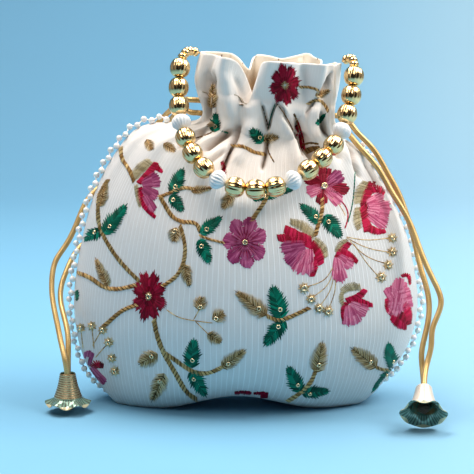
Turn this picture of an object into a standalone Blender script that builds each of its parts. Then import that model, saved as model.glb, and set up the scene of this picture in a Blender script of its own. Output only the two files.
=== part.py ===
"""A potli bag: two gathered silk panels sewn round the edge, a lining, a pearl edging,
a drawstring in the neck with a bell tassel on each side, and a swinging handle of beads.

Metres, +Z up. The bag stands on the floor at z = 0 and its front faces -Y.
A panel is drawn in two shares: u runs across it from seam to seam, -1 to 1,
and v runs up it from the bottom seam to the rim, 0 to 1."""

import math

import bmesh
import bpy
import numpy as np
from mathutils import Matrix, Vector

MM = 0.001
FRONT = -1
BACK = 1

# Cloth
CLOTH = 1.0 * MM                 # embroidered silk and its backing
LINING_CLOTH = 0.6 * MM
TOUCH = 0.3 * MM                 # left between pieces that touch
SEAM_GAP = 1.2 * MM              # between the edges of the two panels, before the thread draws them in
PLEAT_TROUGH = 1.6 * MM          # how far the cloth is drawn in between two pleats

# Outline of the bag, in mm, on rows that climb from the bottom seam to the rim.
OUTLINE_ROWS = (0, 0.06, 0.14, 0.24, 0.36, 0.48, 0.60, 0.70, 0.78, 0.85, 0.92, 1.0)
LEFT_SEAM = (  # x, z
    (-80, 5.5), (-91, 13), (-100, 28), (-104.8, 53), (-103, 81), (-97, 110),
    (-87, 138), (-73, 160), (-54, 170.5), (-27, 173), (-29.5, 192), (-27, 213),
)
RIGHT_SEAM = (  # x, z
    (62, 5.5), (81, 13), (96, 28), (104.3, 52), (103, 79), (97, 104),
    (87, 127), (76, 145), (65, 157.5), (53, 167), (55, 188), (57, 206),
)
MIDDLE = (  # how far the middle of a panel stands out, z
    (0, 7), (19, 3), (41, 13), (56, 38), (60, 68), (57, 97),
    (49, 121), (39, 141), (30, 156), (22, 170), (26, 190), (31, 209),
)
NECK_ROW = 0.85                  # where the drawstring gathers the cloth
NECK_LEFT = (-27 * MM, 180 * MM)     # x, z of the slots that the drawstring leaves by
NECK_RIGHT = (53 * MM, 171 * MM)

# Pleats: place across, height at the neck, height at the rim (mm), half width across,
# and how far the pleat leans sideways per share of the height below the neck.
FRONT_PLEATS = (
    (-0.82, 3.5, 3.0, 0.08, 0.0), (-0.60, 4.5, 3.0, 0.09, -0.1), (-0.40, 4.0, 11.0, 0.10, -0.1),
    (-0.17, 6.5, 0.0, 0.09, 0.0), (-0.02, 0.0, 9.0, 0.09, 0.0), (0.14, 6.5, 9.0, 0.09, 0.9),
    (0.30, 2.5, 3.0, 0.07, 0.8), (0.46, 6.0, 9.0, 0.09, 0.7), (0.65, 5.0, 4.0, 0.09, 0.4),
    (0.83, 3.0, 1.5, 0.06, 0.1),
)
BACK_PLEATS = (
    (-0.80, 3.5, 2.0, 0.08, 0.0), (-0.60, 5.0, 8.0, 0.10, 0.0), (-0.38, 5.0, 5.0, 0.09, 0.0),
    (-0.14, 5.0, 9.0, 0.10, 0.2), (0.08, 4.0, 4.0, 0.09, 0.4), (0.30, 5.0, 10.0, 0.10, 0.5),
    (0.52, 5.0, 5.0, 0.09, 0.5), (0.70, 5.0, 6.0, 0.08, 0.3), (0.84, 3.0, 1.5, 0.06, 0.1),
)
# Valleys pressed into the frill: place across, depth, drop of the rim (mm), half width across.
FRONT_VALLEYS = (
    (-0.64, 4.0, 1.0, 0.07), (-0.21, 14.0, 14.0, 0.075), (0.28, 3.0, 0.5, 0.05), (0.78, 4.0, 2.5, 0.06),
)
BACK_VALLEYS = ((-0.24, 8.0, 6.0, 0.08), (0.10, 5.0, 1.0, 0.07), (0.34, -1.0, -3.0, 0.12), (0.62, 5.0, 2.0, 0.07))
VALLEY_ROW = 0.89                # they start here, above the drawstring
PLEAT_RUN = 0.13                 # share of the height over which a pleat fades into the body
FRILL_TROUGH = 3.0 * MM          # the same drawing in, at the rim

# The bottom: two lobes meet the floor and the middle arches over it.
ARCH_X = -4 * MM
ARCH_WIDTH = 42 * MM
ARCH_RISE = 4.5 * MM
LOBE_DROP = 12.0 * MM
ARCH_HEIGHT = 40 * MM

FRONT_COLUMNS = 48
BACK_COLUMNS = 32
CLOTH_ROWS = (
    0, 0.03, 0.065, 0.11, 0.17, 0.25, 0.34, 0.43, 0.52, 0.60,
    0.67, 0.73, 0.78, 0.815, 0.845, 0.875, 0.905, 0.95, 1.0,
)
LINING_COLUMNS = 20
LINING_ROWS = (0, 0.05, 0.12, 0.22, 0.36, 0.50, 0.62, 0.71, 0.78)

# Pearl edging on the seam
PEARL_DIA = 3.5 * MM
PEARL_PITCH = 4.3 * MM           # along the seam, from one pearl to the next
PEARL_ZIGZAG = 1.4 * MM          # to the front and to the back of the seam in turn
PEARL_THREAD_DIA = 0.9 * MM
PEARLS_HIDE_BELOW = 12 * MM      # under the bag the pearls lie in one row in the seam's fold
PEARLS_SPREAD_ABOVE = 34 * MM
PEARL_FOLD = 1.0 * MM            # how much further from the seam they are there
PEARLS_FROM_LEFT = 0.795         # rows where the edging starts and ends
PEARLS_TO_RIGHT = 0.76

# Drawstring
CORD_DIA = 3.4 * MM
SLOT_CLEARANCE = 1.9 * MM         # from the cord to the panel's outer face
SLOT_HEIGHT = 9.5 * MM           # half the height of the slot in each side seam
SLOT_FROM_LEFT = (0.80, 0.835)   # rows where the left slot starts and is fully open
SLOT_FROM_RIGHT = (0.765, 0.80)
SLOT_TO = (0.905, 0.945)         # rows where both slots narrow again and end
CHANNEL_X = 13 * MM              # middle of the neck
CHANNEL_HALF_WIDTH = 34.5 * MM
CHANNEL_HALF_DEPTH = 16.8 * MM
CHANNEL_RUN_IN = 4.5 * MM        # straight run from each slot to the turn
TURN_GAP = 0.4 * MM              # between one cord and the other above it in the channel
EXIT_REACH = 2.5 * MM            # how far its ends stand out of the slots

# Free strands in mm, from the neck to the bell: chosen points, smoothed below.
STRANDS = {
    "drawstring_left_a": (
        (-30.2, 0, 184.1), (-33.4, 0, 184.2), (-36.5, 4.5, 184.2), (-40.5, 11.5, 181.5),
        (-46.5, 19.5, 176), (-54.5, 26, 167.5), (-66, 31, 153.5), (-79, 30, 137),
        (-96, 20, 123.3), (-104.7, 13, 105.4), (-111.2, 8.5, 93.3), (-116, 4.5, 86),
        (-118, -1, 76.8), (-117.6, -7, 67), (-114, -17.5, 53), (-110.3, -27, 40.6),
        (-107.6, -33.3, 32), (-106.5, -33.95, 24.5), (-106.3, -33.95, 16), (-106.3, -33.95, 8.9),
    ),
    "drawstring_left_b": (
        (-30.2, 0, 176.5), (-33.4, 0, 176.8), (-36, 4.5, 178.2), (-39.5, 12, 177.2),
        (-45, 22, 171.5), (-54, 33, 159), (-66, 40, 141), (-79, 43, 120),
        (-91, 38, 101), (-105.5, 22, 88), (-110.4, 13, 78.2), (-113, 5, 70.3),
        (-112.8, -4, 62.7), (-109.5, -14.5, 53.7), (-106.7, -23, 44.5), (-106.2, -28, 34.5),
        (-106.2, -29.9, 28), (-106.3, -30.05, 22), (-106.3, -30.05, 15), (-106.3, -30.05, 8.9),
    ),
    "drawstring_right_a": (
        (56.2, 0, 166.9), (59.2, 0, 166.4), (62, -2.8, 163.8), (65.5, -6.2, 159.3),
        (70, -9.5, 154.3), (78.8, -12.5, 144.1), (86, -16, 131.8), (90.3, -18.5, 124.9),
        (96.6, -22, 114), (102.5, -28, 98.8), (105.5, -31.5, 91), (111.3, -36.5, 78.7),
        (114.3, -40.5, 68.7), (112.5, -43, 62.3), (108.8, -46.5, 53.3), (107.8, -50, 43.9),
        (105.3, -53.5, 35.2), (102.8, -61.9, 26.1), (102.4, -65.4, 23.2), (101.7, -71.4, 17.9),
    ),
    "drawstring_right_b": (
        (56.2, 0, 174.5), (59.2, 0, 174), (62.3, -1, 171), (66.3, -2.8, 165.5),
        (74.6, -5.2, 157.1), (83.9, -7.5, 142.7), (91, -10.5, 129.8), (96.8, -14.5, 114.1),
        (100.7, -20, 99.9), (103.6, -26.5, 86.5), (107.3, -34, 72), (107.4, -39.5, 60.7),
        (104.8, -44.5, 49.5), (102.5, -48.6, 39.1), (102.8, -51.6, 31.3), (102.8, -59.6, 23),
        (102.4, -63, 20.25), (101.7, -69, 15.1),
    ),
}
STRAND_POINTS = 20               # on each smoothed strand

# Bell tassels: the middle of the mouth in mm, and the way the mouth faces.
LEFT_BELL_MOUTH = (-106.3, -32, 5.5)
LEFT_BELL_WAY = (0, 0, -1)
RIGHT_BELL_MOUTH = (101.0, -76.9, 10.7)
RIGHT_BELL_WAY = (-0.083, -0.753, -0.653)
BELL_WALL = 0.6 * MM
BELL_HEIGHT = 18.4 * MM
BELL_HOLE_DIA = 8.0 * MM
BELL_SHOULDER_DIA = 15.6 * MM
BELL_LIP = 4.0 * MM              # height of the flared petals
BELL_MOUTH_DIA = 26.5 * MM
BELL_CURL = (2.2 * MM, 1.6 * MM)     # where the petals turn up: in from the rim, and above it
BELL_WAIST = (0.7 * MM, 3.4 * MM)    # in from the shoulder, and above the lip
BELL_COLLAR = (1.2 * MM, 5.0 * MM)   # out from the hole's wall, and below the top
BELL_PETALS = 6
PETAL_WAVE = 1.3 * MM
BELL_STEPS = 18
KNOT_DIA = 8.0 * MM
LEFT_KNOT_IN = -0.9 * MM         # from the mouth up into the bell
RIGHT_KNOT_IN = 4.6 * MM

# Handle: a string of beads from one end of the rim to the other.
GOLD_BEAD_DIA = 12.0 * MM
GOLD_BEAD_LENGTH = 10.9 * MM
WHITE_BEAD_DIA = 11.6 * MM
WHITE_BEAD_LENGTH = 9.6 * MM
SPACER_DIA = 5.4 * MM
SPACER_LENGTH = 2.6 * MM
BEAD_GAP = 0.8 * MM
BEAD_HOLE_DIA = 1.9 * MM
BEAD_FLAT = 0.3 * MM             # flat ring round the hole of every bead
THREAD_DIA = 1.2 * MM
STITCH_RUN = 1.5 * MM            # bare thread between the rim and the first bead
SPACERS_AT_END = 5
GOLD_IN_GROUP = 3
GOLD_GROUPS = 5
GOLD_RIBS = 6
WHITE_RIBS = 8
BEAD_CLEARANCE = 0.8 * MM        # between the handle and the cloth that it lies on
HANDLE_ROUTE = (  # mm, as it hangs in front of the bag
    (-27.4, 0, 212.2), (-31.2, -1, 213), (-34.1, -4, 213.5), (-35.7, -8.1, 212.8),
    (-37.6, -10.9, 210.7), (-38.8, -13.2, 207.7), (-39.2, -14.8, 204.7), (-39.9, -17, 190.1),
    (-39.4, -22.5, 180.5), (-37.7, -29, 171.4), (-34.8, -36, 163), (-30.2, -43, 154.8),
    (-23.2, -48.5, 147), (-14.6, -52, 141), (-4.6, -54, 137.5), (6.8, -54.8, 137.1),
    (18.2, -54, 138.6), (27.6, -51.5, 142.3), (36.3, -47, 148), (44.9, -41, 154.3),
    (51.9, -34, 161.7), (56.9, -27.5, 170.7), (60, -23, 180.2), (61.9, -19.5, 189.1),
    (63.9, -16.2, 203.1), (63.7, -13.3, 206.2), (63.2, -9.9, 208.3), (62.4, -6, 209.2),
    (60.5, -2.3, 208.6), (57.4, 0, 207.2),
)


def smoothstep(low, high, value):
    """0 below low, 1 above high, and an easy rise between."""
    share = np.clip((value - low) / (high - low), 0, 1)
    return share * share * (3 - 2 * share)


def natural_spline(places, values, at):
    """A smooth curve through values at places, read at the given places."""
    places = np.asarray(places, float)
    values = np.asarray(values, float)
    count = len(places)
    step = np.diff(places)
    matrix = np.eye(count)
    right = np.zeros_like(values)
    for i in range(1, count - 1):
        matrix[i, i - 1:i + 2] = step[i - 1], 2 * (step[i - 1] + step[i]), step[i]
        right[i] = 6 * ((values[i + 1] - values[i]) / step[i] - (values[i] - values[i - 1]) / step[i - 1])
    bend = np.linalg.solve(matrix, right)
    at = np.asarray(at, float)
    k = np.clip(np.searchsorted(places, at, side="right") - 1, 0, count - 2)
    tail = (...,) + (None,) * (values.ndim - 1)
    over = (places[k + 1] - at)[tail]
    under = (at - places[k])[tail]
    width = step[k][tail]
    cubic = (bend[k] * over**3 + bend[k + 1] * under**3) / (6 * width)
    return (cubic + (values[k] / width - bend[k] * width / 6) * over
            + (values[k + 1] / width - bend[k + 1] * width / 6) * under)


def smooth_route(points, count, lead=0.0, tail=0.0):
    """Points spaced evenly along a smooth curve through the route's own points.

    A lead and a tail give the first and last segments short lengths of their own."""
    points = np.asarray(points, float)
    places = np.concatenate([[0], np.cumsum(np.linalg.norm(np.diff(points, axis=0), axis=1))])
    fine = natural_spline(places, points, np.linspace(0, places[-1], 40 * len(points)))
    length = np.concatenate([[0], np.cumsum(np.linalg.norm(np.diff(fine, axis=0), axis=1))])
    even = np.linspace(0, length[-1], count)
    if lead:
        even[1:] = np.linspace(lead, length[-1], count - 1)
    if tail:
        even[1:-1] = np.linspace(lead, length[-1] - tail, count - 2)
    return np.stack([np.interp(even, length, fine[:, axis]) for axis in range(3)], axis=-1)


def neck_height(x):
    """Height of the drawstring channel, which slopes from the left slot to the right one."""
    share = (x - NECK_LEFT[0]) / (NECK_RIGHT[0] - NECK_LEFT[0])
    return NECK_LEFT[1] + share * (NECK_RIGHT[1] - NECK_LEFT[1])


def bottom_shift(x, z, v, swell):
    """How far the bottom sags onto its two lobes, or is held up by the arch between them."""
    low = smoothstep(ARCH_HEIGHT, 0, z) * smoothstep(0, 0.04, v)
    arch = np.exp(-((x - ARCH_X) / ARCH_WIDTH) ** 2)
    return low * (ARCH_RISE * arch - LOBE_DROP * (1 - arch) * smoothstep(0.1, 0.5, swell))


def panel_point(u, v, side):
    """The outer face of the front or back panel."""
    u, v = np.broadcast_arrays(np.asarray(u, float), np.asarray(v, float))
    left = natural_spline(OUTLINE_ROWS, LEFT_SEAM, v) * MM
    right = natural_spline(OUTLINE_ROWS, RIGHT_SEAM, v) * MM
    middle = natural_spline(OUTLINE_ROWS, MIDDLE, v) * MM
    across = np.sin(np.pi * u / 2)
    swell = np.maximum(np.cos(np.pi * u / 2), 0) ** (1.28 - 0.33 * smoothstep(0.6, NECK_ROW, v))
    half = (right[..., 0] - left[..., 0]) / 2
    depth = np.maximum(middle[..., 0], 1 * MM)
    x = (left[..., 0] + right[..., 0]) / 2 + half * across
    y = -middle[..., 0] * swell
    z = left[..., 1] + (right[..., 1] - left[..., 1]) * (across + 1) / 2
    z = z + (middle[..., 1] - (left[..., 1] + right[..., 1]) / 2) * swell

    gathered = np.exp(-np.maximum(NECK_ROW - v, 0) / PLEAT_RUN) * smoothstep(0.35, 0.6, v)
    frill = smoothstep(NECK_ROW, 1, v)
    stand = -(PLEAT_TROUGH * gathered * (1 - frill) + FRILL_TROUGH * frill) * smoothstep(0, 0.15, 1 - abs(u))
    for place, at_neck, at_rim, width, lean in FRONT_PLEATS if side == FRONT else BACK_PLEATS:
        middle_line = place + lean * np.maximum(NECK_ROW - v, 0)
        bump = np.exp(-((u - middle_line) / width) ** 2) * MM
        stand = stand + bump * (at_neck * gathered * (1 - frill) + at_rim * frill)
    valley = smoothstep(VALLEY_ROW, 1, v)
    for place, deep, drop, width in FRONT_VALLEYS if side == FRONT else BACK_VALLEYS:
        press = np.exp(-((u - place) / width) ** 2) * valley * MM
        stand = stand - deep * press
        z = z - drop * press
    along_x = across / half
    along_y = -swell / depth
    size = np.sqrt(along_x**2 + along_y**2) + 1e-9
    x = x + stand * along_x / size
    y = y + stand * along_y / size

    z = z + bottom_shift(x, z, v, swell)
    z = np.where(v > 0.02, np.maximum(z, 0), z)

    slot = np.exp(-((z - neck_height(x)) / SLOT_HEIGHT) ** 8)
    side_share = (across + 1) / 2
    low_end = SLOT_FROM_LEFT[0] + side_share * (SLOT_FROM_RIGHT[0] - SLOT_FROM_LEFT[0])
    open_from = SLOT_FROM_LEFT[1] + side_share * (SLOT_FROM_RIGHT[1] - SLOT_FROM_LEFT[1])
    slot = slot * smoothstep(low_end, open_from, v) * smoothstep(SLOT_TO[1], SLOT_TO[0], v)
    y = y - SEAM_GAP / 2 - (CORD_DIA / 2 + SLOT_CLEARANCE - SEAM_GAP / 2) * slot
    return np.stack([x, y if side == FRONT else -y, z], axis=-1)


def lining_point(u, v, side):
    """The outer face of the lining: the same bag without pleats, drawn inside the panels."""
    inset = CLOTH + PLEAT_TROUGH + TOUCH
    left = natural_spline(OUTLINE_ROWS, LEFT_SEAM, v) * MM
    right = natural_spline(OUTLINE_ROWS, RIGHT_SEAM, v) * MM
    middle = natural_spline(OUTLINE_ROWS, MIDDLE, v) * MM
    across = np.sin(np.pi * u / 2)
    swell = np.maximum(np.cos(np.pi * u / 2), 0) ** (1.28 - 0.33 * smoothstep(0.6, NECK_ROW, v))
    half = (right[..., 0] - left[..., 0]) / 2 - inset
    x = (left[..., 0] + right[..., 0]) / 2 + half * across
    y = -np.maximum(middle[..., 0] - inset * smoothstep(0, 0.05, v), 0) * swell
    z = left[..., 1] + (right[..., 1] - left[..., 1]) * (across + 1) / 2
    z = z + (middle[..., 1] - (left[..., 1] + right[..., 1]) / 2) * swell
    z = z + bottom_shift(x, z, v, swell)
    z = z + 1.4 * inset * smoothstep(0.3, 0, v) - 1.2 * inset * smoothstep(0.55, 0.8, v)
    floor = CLOTH + TOUCH
    z = np.maximum(z, floor)
    return np.stack([x, y if side == FRONT else -y, z], axis=-1)


def finish_object(name, data, colour, roughness, metallic, collection):
    """A named object with its own material, in the bag's collection."""
    material = bpy.data.materials.new(name)
    material.use_nodes = True
    shader = material.node_tree.nodes["Principled BSDF"]
    shader.inputs["Base Color"].default_value = (*colour, 1)
    shader.inputs["Roughness"].default_value = roughness
    shader.inputs["Metallic"].default_value = metallic
    material.diffuse_color = (*colour, 1)
    data.materials.append(material)
    thing = bpy.data.objects.new(name, data)
    collection.objects.link(thing)
    return thing


def grid_mesh(name, columns, rows, place, wrap=False, flip=False):
    """A grid of quads, each vertex put at place(column share 0 to 1, row index array)."""
    bm = bmesh.new()
    bmesh.ops.create_grid(bm, x_segments=columns, y_segments=rows, size=1)
    column = np.array([(v.co.x + 1) / 2 for v in bm.verts])
    row = np.array([round((v.co.y + 1) / 2 * rows) for v in bm.verts])
    for vertex, point in zip(bm.verts, place(column, row)):
        vertex.co = point
    if wrap:
        bmesh.ops.remove_doubles(bm, verts=bm.verts, dist=0.01 * MM)
    if flip:
        bmesh.ops.reverse_faces(bm, faces=bm.faces)
    mesh = bpy.data.meshes.new(name)
    bm.to_mesh(mesh)
    bm.free()
    mesh.shade_smooth()
    return mesh


def add_shell(thing, thickness):
    """Gives an open sheet its thickness, inward from its outer face."""
    shell = thing.modifiers.new("thickness", "SOLIDIFY")
    shell.thickness = thickness
    shell.offset = -1


def add_panel(name, side, columns, colour, collection):
    rows = np.array(CLOTH_ROWS)
    mesh = grid_mesh(
        name, columns, len(rows) - 1,
        lambda column, row: panel_point(2 * column - 1, rows[row], side), flip=side == BACK,
    )
    panel = finish_object(name, mesh, colour, 0.7, 0, collection)
    add_shell(panel, CLOTH)
    return panel


def add_lining(collection):
    """A plain pouch of thin cloth, closed at the bottom and open at the neck."""
    rows = np.array(LINING_ROWS)

    def place(column, row):
        turn = 4 * column
        u = np.where(turn <= 2, turn - 1, 3 - turn)
        front = lining_point(u, rows[row], FRONT)
        back = lining_point(u, rows[row], BACK)
        return np.where((turn <= 2)[:, None], front, back)

    mesh = grid_mesh("lining", LINING_COLUMNS, len(rows) - 1, place, wrap=True)
    lining = finish_object("lining", mesh, (0.84, 0.76, 0.62), 0.85, 0, collection)
    add_shell(lining, LINING_CLOTH)


def add_tube(name, points, diameter, colour, roughness, metallic, collection, shares=None, detail=2):
    """A round tube on a POLY spline, with closed ends; shares thins it at its points."""
    curve = bpy.data.curves.new(name, "CURVE")
    curve.dimensions = "3D"
    curve.bevel_depth = diameter / 2
    curve.bevel_resolution = detail
    curve.use_fill_caps = True
    spline = curve.splines.new("POLY")
    spline.points.add(len(points) - 1)
    for i, point in enumerate(points):
        spline.points[i].co = (*point, 1)
        spline.points[i].radius = 1 if shares is None else shares[i]
    return finish_object(name, curve, colour, roughness, metallic, collection)


def seam_route():
    """The seam's outer edge, from the left shoulder round the bottom to the right one."""
    down = np.linspace(PEARLS_FROM_LEFT, 0, 160)
    across = np.linspace(-1, 1, 160)
    up = np.linspace(0, PEARLS_TO_RIGHT, 160)
    points = np.concatenate([
        panel_point(-1, down, FRONT)[:-1],
        panel_point(across, 0, FRONT),
        panel_point(1, up, FRONT)[1:],
    ])
    points[:, 1] = 0
    return points


def add_pearls(collection):
    """Pearls on a thread along the seam, to its front and back in turn."""
    seam = seam_route()
    length = np.concatenate([[0], np.cumsum(np.linalg.norm(np.diff(seam, axis=0), axis=1))])
    count = round(length[-1] / PEARL_PITCH)
    places = np.linspace(0, length[-1], count + 1)
    on_seam = np.stack([np.interp(places, length, seam[:, axis]) for axis in range(3)], axis=-1)
    ahead = np.gradient(on_seam, axis=0)
    outward = np.stack([ahead[:, 2], 0 * ahead[:, 0], -ahead[:, 0]], axis=-1)
    outward = outward / np.linalg.norm(outward, axis=1, keepdims=True)
    free = smoothstep(PEARLS_HIDE_BELOW, PEARLS_SPREAD_ABOVE, on_seam[:, 2:])
    middle = on_seam + outward * (PEARL_DIA / 2 + TOUCH + PEARL_FOLD * (1 - free))
    sign = np.where(np.arange(count + 1) % 2, 1, -1)
    middle[:, 1] = PEARL_ZIGZAG * sign * free[:, 0]
    points = []
    shares = []
    for i, pearl in enumerate(middle):
        if i:
            points.append((middle[i - 1] + pearl) / 2)
            shares.append(PEARL_THREAD_DIA / PEARL_DIA)
        points.append(pearl)
        shares.append(1)
    add_tube("pearl_trim", points, PEARL_DIA, (0.93, 0.91, 0.86), 0.25, 0, collection, shares, detail=1)


def channel_turn(exit_x, way):
    """One cord's turn inside the neck channel: in at a side seam, round, and out below."""
    rise = CORD_DIA + TURN_GAP
    run_in = exit_x - way * CHANNEL_RUN_IN
    points = [(exit_x, 0, neck_height(exit_x) + rise), (run_in, 0, neck_height(run_in) + rise)]
    for degrees in range(30, 331, 20):
        angle = math.radians(degrees)
        x = CHANNEL_X + way * CHANNEL_HALF_WIDTH * math.cos(angle)
        y = way * CHANNEL_HALF_DEPTH * math.sin(angle)
        points.append((x, y, neck_height(x) + rise - 2 * rise * degrees / 360))
    points += [(run_in, 0, neck_height(run_in) - rise), (exit_x, 0, neck_height(exit_x) - rise)]
    return smooth_route(points, 26, lead=CORD_DIA, tail=CORD_DIA)


def add_drawstring(collection):
    gold = (0.70, 0.52, 0.24)
    left_exit = NECK_LEFT[0] - EXIT_REACH
    right_exit = NECK_RIGHT[0] + EXIT_REACH
    for name, exit_x, way in (("channel_cord_left", left_exit, -1), ("channel_cord_right", right_exit, 1)):
        add_tube(name, channel_turn(exit_x, way), CORD_DIA, gold, 0.45, 0.1, collection)
    for name, route in STRANDS.items():
        points = smooth_route(np.array(route) * MM, STRAND_POINTS, lead=CORD_DIA)
        add_tube(name, points, CORD_DIA, gold, 0.45, 0.1, collection)


def turned_mesh(name, profile, steps, ribs=0, rib_depth=0.0, wave=None):
    """A closed turned form about Z. profile is a loop of (radius, height); ribs swell round it."""
    loop = np.array(list(profile) + [profile[0]])

    def place(column, row):
        angle = 2 * math.pi * column
        radius = loop[row, 0]
        height = loop[row, 1]
        outer = smoothstep(0.5, 0.9, radius / loop[:, 0].max())
        radius = radius * (1 - rib_depth * outer * (1 - np.cos(ribs * angle)) / 2)
        if wave is not None:
            radius, height = wave(angle, radius, height)
        return np.stack([radius * np.cos(angle), radius * np.sin(angle), height], axis=-1)

    mesh = grid_mesh(name, steps, len(loop) - 1, place, wrap=True)
    bm = bmesh.new()
    bm.from_mesh(mesh)
    bmesh.ops.recalc_face_normals(bm, faces=bm.faces)
    bm.to_mesh(mesh)
    bm.free()
    mesh.set_sharp_from_angle(angle=math.radians(50))
    return mesh


def bead_profile(diameter, length, belly):
    """Half of a drilled bead's section; belly 1 is round and less is a fuller barrel."""
    hole = BEAD_HOLE_DIA / 2
    points = []
    for share in (-1, -0.62, 0, 0.62, 1):
        height = share * length / 2
        swell = math.sqrt(1 - share * share)
        points.append((max(hole, hole + (diameter / 2 - hole) * swell ** belly), height))
    points[0] = (hole + BEAD_FLAT, -length / 2)
    points[-1] = (hole + BEAD_FLAT, length / 2)
    return points + [(hole, length / 2), (hole, -length / 2)]


def spacer_profile():
    hole = BEAD_HOLE_DIA / 2
    rim = SPACER_DIA / 2
    return [
        (hole, -SPACER_LENGTH / 2), (hole + BEAD_FLAT, -SPACER_LENGTH / 2),
        (rim, -0.18 * SPACER_LENGTH), (rim, 0.18 * SPACER_LENGTH),
        (hole + BEAD_FLAT, SPACER_LENGTH / 2), (hole, SPACER_LENGTH / 2),
    ]


def place_along(thing, start, end):
    """Puts a turned piece midway between two points with its axis through them."""
    axis = (Vector(end) - Vector(start)).normalized()
    turn = axis.to_track_quat("Z", "Y").to_matrix().to_4x4()
    thing.matrix_world = Matrix.Translation((Vector(start) + Vector(end)) / 2) @ turn


def bead_order():
    """Kind and pitch of each bead from the left end of the handle to the right."""
    spacers = [("spacer", SPACER_LENGTH + BEAD_GAP)] * SPACERS_AT_END
    gold = [("gold", GOLD_BEAD_LENGTH + BEAD_GAP)] * GOLD_IN_GROUP
    order = list(spacers)
    for group in range(GOLD_GROUPS):
        order += gold
        if group < GOLD_GROUPS - 1:
            order.append(("white", WHITE_BEAD_LENGTH + BEAD_GAP))
    return order + spacers


def handle_curve():
    """The string's route, pushed off the front panel where it would press into it."""
    route = np.array(HANDLE_ROUTE) * MM
    u, v = np.meshgrid(np.linspace(-1, 1, 161), np.linspace(0.4, 1, 121))
    cloth = panel_point(u, v, FRONT).reshape(-1, 3)
    reach = GOLD_BEAD_DIA / 2 + BEAD_CLEARANCE
    for point in route[7:-7]:
        off = np.hypot(cloth[:, 0] - point[0], cloth[:, 2] - point[2])
        near = off < reach
        if near.any():
            face = cloth[near, 1] - np.sqrt(reach**2 - off[near] ** 2)
            point[1] = min(point[1], face.min())
    order = bead_order()
    needed = sum(pitch for _, pitch in order) + 2 * STITCH_RUN
    fine = smooth_route(route, 1500)
    length = np.linalg.norm(np.diff(fine, axis=0), axis=1).sum()
    return fine, length, needed


def add_handle(collection):
    """Beads one after another along the string, and the string through their holes."""
    meshes = {
        "gold": turned_mesh("gold_bead", bead_profile(GOLD_BEAD_DIA, GOLD_BEAD_LENGTH, 0.9),
                            2 * GOLD_RIBS, GOLD_RIBS, 0.10),
        "white": turned_mesh("white_bead", bead_profile(WHITE_BEAD_DIA, WHITE_BEAD_LENGTH, 1.25),
                             2 * WHITE_RIBS, WHITE_RIBS, 0.05),
        "spacer": turned_mesh("spacer", spacer_profile(), 8),
    }
    looks = {
        "gold": ((0.80, 0.56, 0.20), 0.22, 1.0),
        "white": ((0.88, 0.88, 0.88), 0.7, 0.0),
        "spacer": ((0.78, 0.55, 0.22), 0.25, 1.0),
    }
    names = {"gold": "gold_bead_{:02d}", "white": "white_bead_{:d}", "spacer": "spacer_{:02d}"}
    fine, length, needed = handle_curve()
    places = np.linspace(0, length, len(fine))

    def at(distance):
        scaled = distance * length / needed
        return np.array([np.interp(scaled, places, fine[:, axis]) for axis in range(3)])

    made = {kind: 0 for kind in meshes}
    travelled = STITCH_RUN
    string = [at(0)]
    for kind, pitch in bead_order():
        start = at(travelled + BEAD_GAP / 2)
        end = at(travelled + pitch - BEAD_GAP / 2)
        travelled += pitch
        made[kind] += 1
        mesh = meshes[kind].copy()
        colour, roughness, metallic = looks[kind]
        bead = finish_object(names[kind].format(made[kind]), mesh, colour, roughness, metallic, collection)
        place_along(bead, start, end)
        string += [start, end]
    string.append(at(needed))
    add_tube("handle_thread", string, THREAD_DIA, (0.75, 0.62, 0.38), 0.8, 0, collection, detail=1)


def bell_profile():
    """Section of the bell about its axis: mouth at 0, a cone above flared petals."""
    cone = BELL_HEIGHT
    outer = [
        (BELL_MOUTH_DIA / 2, 0),
        (BELL_MOUTH_DIA / 2 - BELL_CURL[0], BELL_CURL[1]),
        (BELL_SHOULDER_DIA / 2 + 0.6 * MM, BELL_LIP),
        (BELL_SHOULDER_DIA / 2 - BELL_WAIST[0], BELL_LIP + BELL_WAIST[1]),
        (BELL_HOLE_DIA / 2 + BELL_WALL + BELL_COLLAR[0], cone - BELL_COLLAR[1]),
        (BELL_HOLE_DIA / 2 + BELL_WALL, cone),
    ]
    inner = [(radius - BELL_WALL, height) for radius, height in reversed(outer)]
    return outer + inner


def add_bells(collection):
    def petals(angle, radius, height):
        share = smoothstep(BELL_LIP, 0, height)
        turn = np.cos(BELL_PETALS * angle)
        return radius * (1 + 0.05 * share * turn), height + PETAL_WAVE * share * turn

    tassels = (
        ("left", LEFT_BELL_MOUTH, LEFT_BELL_WAY, LEFT_KNOT_IN),
        ("right", RIGHT_BELL_MOUTH, RIGHT_BELL_WAY, RIGHT_KNOT_IN),
    )
    for side, mouth, way, knot_in in tassels:
        mesh = turned_mesh(f"bell_{side}", bell_profile(), BELL_STEPS, wave=petals)
        bell = finish_object(f"bell_{side}", mesh, (0.72, 0.55, 0.30), 0.3, 1.0, collection)
        up = -Vector(way).normalized()
        turn = up.to_track_quat("Z", "Y").to_matrix().to_4x4()
        bell.matrix_world = Matrix.Translation(Vector(mouth) * MM) @ turn
        bm = bmesh.new()
        bmesh.ops.create_uvsphere(bm, u_segments=10, v_segments=6, radius=KNOT_DIA / 2)
        knot_mesh = bpy.data.meshes.new(f"knot_{side}")
        bm.to_mesh(knot_mesh)
        bm.free()
        knot_mesh.shade_smooth()
        knot = finish_object(f"knot_{side}", knot_mesh, (0.55, 0.42, 0.22), 0.6, 0, collection)
        knot.matrix_world = Matrix.Translation(Vector(mouth) * MM + up * knot_in) @ turn


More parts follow.
